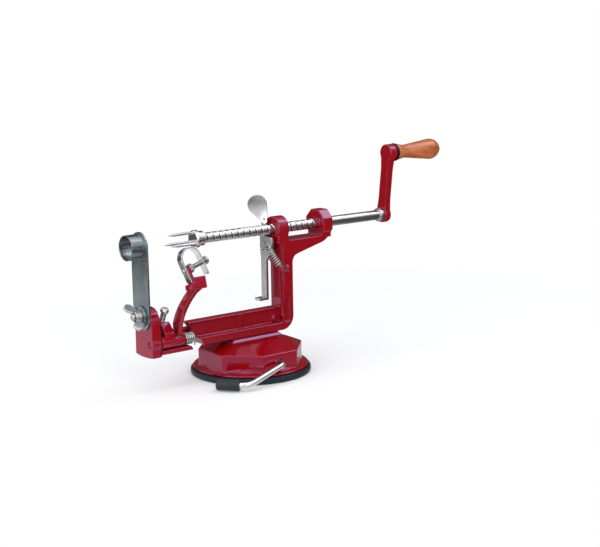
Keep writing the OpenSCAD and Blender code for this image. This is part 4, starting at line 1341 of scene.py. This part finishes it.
@dataclass
class Release(Part):
    """The lever that holds its tooth in the thread, and its spring."""

    soft = (Soft("release_lever", "release", Slot.STEEL, 0.3),)
    wire_d: float = 0.9
    coil_d: float = 6.2
    turns: float = 7.0
    top: Point = (18.4, 0.0, 106.6)
    low: Point = (28.1, -13.0, 89.8)
    coil_top: Point = (17.55, -8.25, 104.6)
    coil_low: Point = (22.8, -13.6, 92.0)
    back_x: float = 24.3
    eye_end_x: float = 33.3

    def make(self) -> None:
        """Adds the spring."""
        self.shop.add(self._spring(), "frame", Slot.STEEL, "lever_spring")

    def _spring(self) -> Mesh:
        """Makes the extension spring with its two hooks.

        Returns:
            The mesh.
        """
        ends = (self.top, self.low, self.coil_top, self.coil_low)
        top, low, first, last = (Vector(p) for p in ends)
        line, in_way = (last - first).normalized(), (first - top).normalized()
        side = Vector((1.0, 0.0, 0.0))
        radius = 0.5 * (self.coil_d - self.wire_d)
        coil = helix(self.coil_top, self.coil_low, radius, self.turns, tuple(side))
        path = [(self.back_x, top.y, top.z), *quad(top + 1.4 * side, top, top + 1.4 * in_way, 8)]
        path += [tuple(first - 1.6 * line), *coil, tuple(last + 1.6 * line)]
        path += quad(low + Vector((-1.2, 0.0, 1.0)), low, low + 0.8 * side, 8)
        path += [(self.eye_end_x, low.y, low.z)]
        return self.shop.wire_along("lever_spring_coil", path, self.wire_d, Slot.STEEL, 14)


# Studio

WHITE = (1.0, 1.0, 1.0)
SKY = (0.97, 0.98, 1.0)
COOL = (0.93, 0.95, 1.0)


@dataclass(frozen=True)
class SoftLight:
    """A large soft lamp that points at a place, in metres."""

    name: str
    at: Point
    aim: Point
    width: float
    height: float
    watts: float
    colour: Colour = WHITE

    def build(self) -> None:
        """Adds the lamp."""
        lamp = bpy.data.lights.new(self.name, "AREA")
        lamp.color = self.colour
        lamp.shape = "RECTANGLE"
        lamp.size = self.width
        lamp.size_y = self.height
        lamp.energy = self.watts
        holder = show(self.name, lamp)
        holder.location = self.at
        way = Vector(self.aim) - Vector(self.at)
        holder.rotation_euler = way.to_track_quat("-Z", "Y").to_euler()
        LOG.info("lit %s", self.name)


LIGHTS = (
    SoftLight("left_panel", (-1.5, -0.15, 0.75), (0.0, 0.0, 0.08), 1.3, 1.3, 9.5, COOL),
    SoftLight("overhead_panel", (-0.1, -0.1, 1.7), (0.0, 0.0, 0.05), 1.6, 1.6, 6.0, COOL),
    SoftLight("edge_panel", (0.92, -0.36, 1.2), (0.0, 0.0, 0.08), 0.5, 0.5, 3.0, COOL),
    SoftLight("front_fill", (-0.5, -1.7, 1.1), (0.0, 0.0, 0.08), 0.8, 0.8, 8.5),
)


class Measure(Enum):
    """What a fade follows: the way along a direction, or the distance from a place."""

    ALONG = "DOT_PRODUCT"
    FROM = "DISTANCE"


@dataclass(frozen=True)
class Fade:
    """A level that changes smoothly along a direction, or with the distance from a place."""

    measure: Measure
    mark: Point
    first: float
    last: float
    first_level: float
    last_level: float

    def build(self, tree: Tree, place: Socket) -> Socket:
        """Returns the level at a place.

        Args:
            tree: The node tree to add to.
            place: The socket that gives the place or the direction.

        Returns:
            The socket of the level.
        """
        measure = tree.nodes.new("ShaderNodeVectorMath")
        measure.operation = self.measure.value
        measure.inputs[1].default_value = self.mark
        feed(tree, measure.inputs[0], place)
        return smooth(tree, measure.outputs["Value"], self.first, self.last,
                      To_Min=self.first_level, To_Max=self.last_level)


@dataclass
class Studio:
    """The floor, the world and the lamps."""

    floor_size: float = 12.0
    floor_colour: Colour = (0.88, 0.88, 0.88)
    world_level: float = 0.75
    clear: Fade = Fade(Measure.FROM, (0.18, 0.04, 0.0), 0.19, 0.4, 0.0, 1.0)
    room: Fade = Fade(Measure.ALONG, (-0.45, -0.2, 0.87), 0.0, 0.3, 0.12, 1.0)
    back: Fade = Fade(Measure.ALONG, (0.55, 0.83, 0.0), 0.45, 0.75, 1.0, 0.08)
    near_sheet: Fade = Fade(Measure.FROM, (-0.15, 0.2, 0.0), 0.2, 0.48, 0.9, 0.08)
    front_sheet: Fade = Fade(Measure.ALONG, (-0.72, -0.66, 0.0), 0.2, 0.5, 0.0, 0.95)

    def build(self) -> None:
        """Adds the floor, the world and the lamps, and sets how the picture is shown."""
        floor = show("floor", self._floor_mesh())
        self._world()
        for light in LIGHTS:
            light.build()
        scene = bpy.context.scene
        scene.view_settings.view_transform = "Standard"
        scene.view_settings.look = "None"
        LOG.info("set the studio")

    def _floor_mesh(self) -> Mesh:
        """Makes a large pale sheet, with the object's shadow near it and white far from it.

        Returns:
            The mesh.
        """
        half = 0.5 * self.floor_size
        corners = ((-half, -half), (half, -half), (half, half), (-half, half))
        mesh = mesh_from("floor", [Vector((x, y, 0.0)) for x, y in corners], [[0, 1, 2, 3]])
        material = bpy.data.materials.new("pale_floor")
        material.use_nodes = True
        tree = material.node_tree
        lit = fill(tree, find(tree, "ShaderNodeBsdfPrincipled"),
                   Base_Color=rgba(self.floor_colour), Roughness=0.9, Specular_IOR_Level=0.0)
        rays = tree.nodes.new("ShaderNodeLightPath")
        place = tree.nodes.new("ShaderNodeTexCoord").outputs["Object"]
        seen = calc(tree, "MULTIPLY", self.clear.build(tree, place), rays.outputs["Is Camera Ray"])
        level = calc(tree, "MAXIMUM", self.near_sheet.build(tree, place),
                     self.front_sheet.build(tree, place))
        white = tree.nodes.new("ShaderNodeEmission")
        mirror = add_node(tree, "ShaderNodeEmission", Strength=level)
        shown = self._pick(tree, rays, seen, lit, white, mirror)
        fill(tree, find(tree, "ShaderNodeOutputMaterial"), Surface=shown)
        mesh.materials.append(material)
        return mesh

    def _world(self) -> None:
        """Makes the world white to the camera, softer as light and a plain room to a mirror."""
        world = bpy.data.worlds.new("studio_world")
        world.use_nodes = True
        tree = world.node_tree
        tree.nodes.clear()
        rays = tree.nodes.new("ShaderNodeLightPath")
        way = tree.nodes.new("ShaderNodeTexCoord").outputs["Generated"]
        level = calc(tree, "MINIMUM", self.room.build(tree, way), self.back.build(tree, way))
        soft = add_node(tree, "ShaderNodeBackground", Color=rgba(SKY), Strength=self.world_level)
        white = add_node(tree, "ShaderNodeBackground", Color=rgba(WHITE))
        mirror = add_node(tree, "ShaderNodeBackground", Color=rgba(COOL), Strength=level)
        shown = self._pick(tree, rays, rays.outputs["Is Camera Ray"], soft, white, mirror)
        add_node(tree, "ShaderNodeOutputWorld", Surface=shown)
        bpy.context.scene.world = world

    def _pick(self, tree: Tree, rays: Node, seen: Socket, lit: Node, white: Node, mirror: Node
              ) -> Node:
        """Joins what takes light, what the camera sees as white and what mirrors and glass see.

        Args:
            tree: The node tree to add to.
            rays: The Light Path node.
            seen: The socket that is 1 where the camera sees white.
            lit: The shader that takes light.
            white: The white shader.
            mirror: The shader that mirrors and glass see.

        Returns:
            The joined shader.
        """
        mirrored = calc(tree, "MAXIMUM", rays.outputs["Is Glossy Ray"],
                        rays.outputs["Is Transmission Ray"])
        shown = lit
        for factor, shader in ((seen, white), (mirrored, mirror)):
            mixed = tree.nodes.new("ShaderNodeMixShader")
            for socket, source in zip(mixed.inputs, (factor, shown, shader)):
                feed(tree, socket, source)
            shown = mixed
        return shown


@dataclass(frozen=True)
class Viewpoint:
    """The camera, placed as the photograph was taken."""

    at: Point = (-0.6679, -0.9107, 0.2974)
    heading: float = 38.5
    dip: float = 10.65
    roll: float = 0.87
    lens: float = 79.8
    sensor: float = 36.0
    far: float = 100.0

    def build(self) -> None:
        """Adds the camera and makes it the scene's own."""
        a, e, r = (math.radians(v) for v in (self.heading, self.dip, self.roll))
        ahead = Vector((math.sin(a) * math.cos(e), math.cos(a) * math.cos(e), -math.sin(e)))
        right = Vector((math.cos(a), -math.sin(a), 0.0))
        above = right.cross(ahead)
        across = right * math.cos(r) - above * math.sin(r)
        upward = above * math.cos(r) + right * math.sin(r)
        camera = bpy.data.cameras.new("camera")
        camera.sensor_fit = "HORIZONTAL"
        camera.sensor_width = self.sensor
        camera.lens = self.lens
        camera.clip_end = self.far
        holder = show("camera", camera)
        frame = Matrix((across, upward, -ahead)).transposed().to_4x4()
        holder.matrix_world = Matrix.Translation(self.at) @ frame
        bpy.context.scene.camera = holder
        LOG.info("set the camera")


# Whole scene


def main() -> None:
    """Builds the scene in order: finishes, sub-assemblies, studio and camera."""
    logging.basicConfig(level=logging.INFO, format="%(name)s: %(message)s")
    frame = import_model()
    groups = SurfaceGroups()
    palette = {slot: finish.build(groups) for slot, finish in FINISHES.items()}
    shop = Workshop(frame["nodes"], palette, wire_tree(), groove_tree())
    for kind in (Base, Frame, Drive, Crank, PeelerArm, Slicer, Release):
        kind(shop).build()
        LOG.info("finished %s", kind.__name__)
    Studio().build()
    Viewpoint().build()


if __name__ == "__main__":
    main()
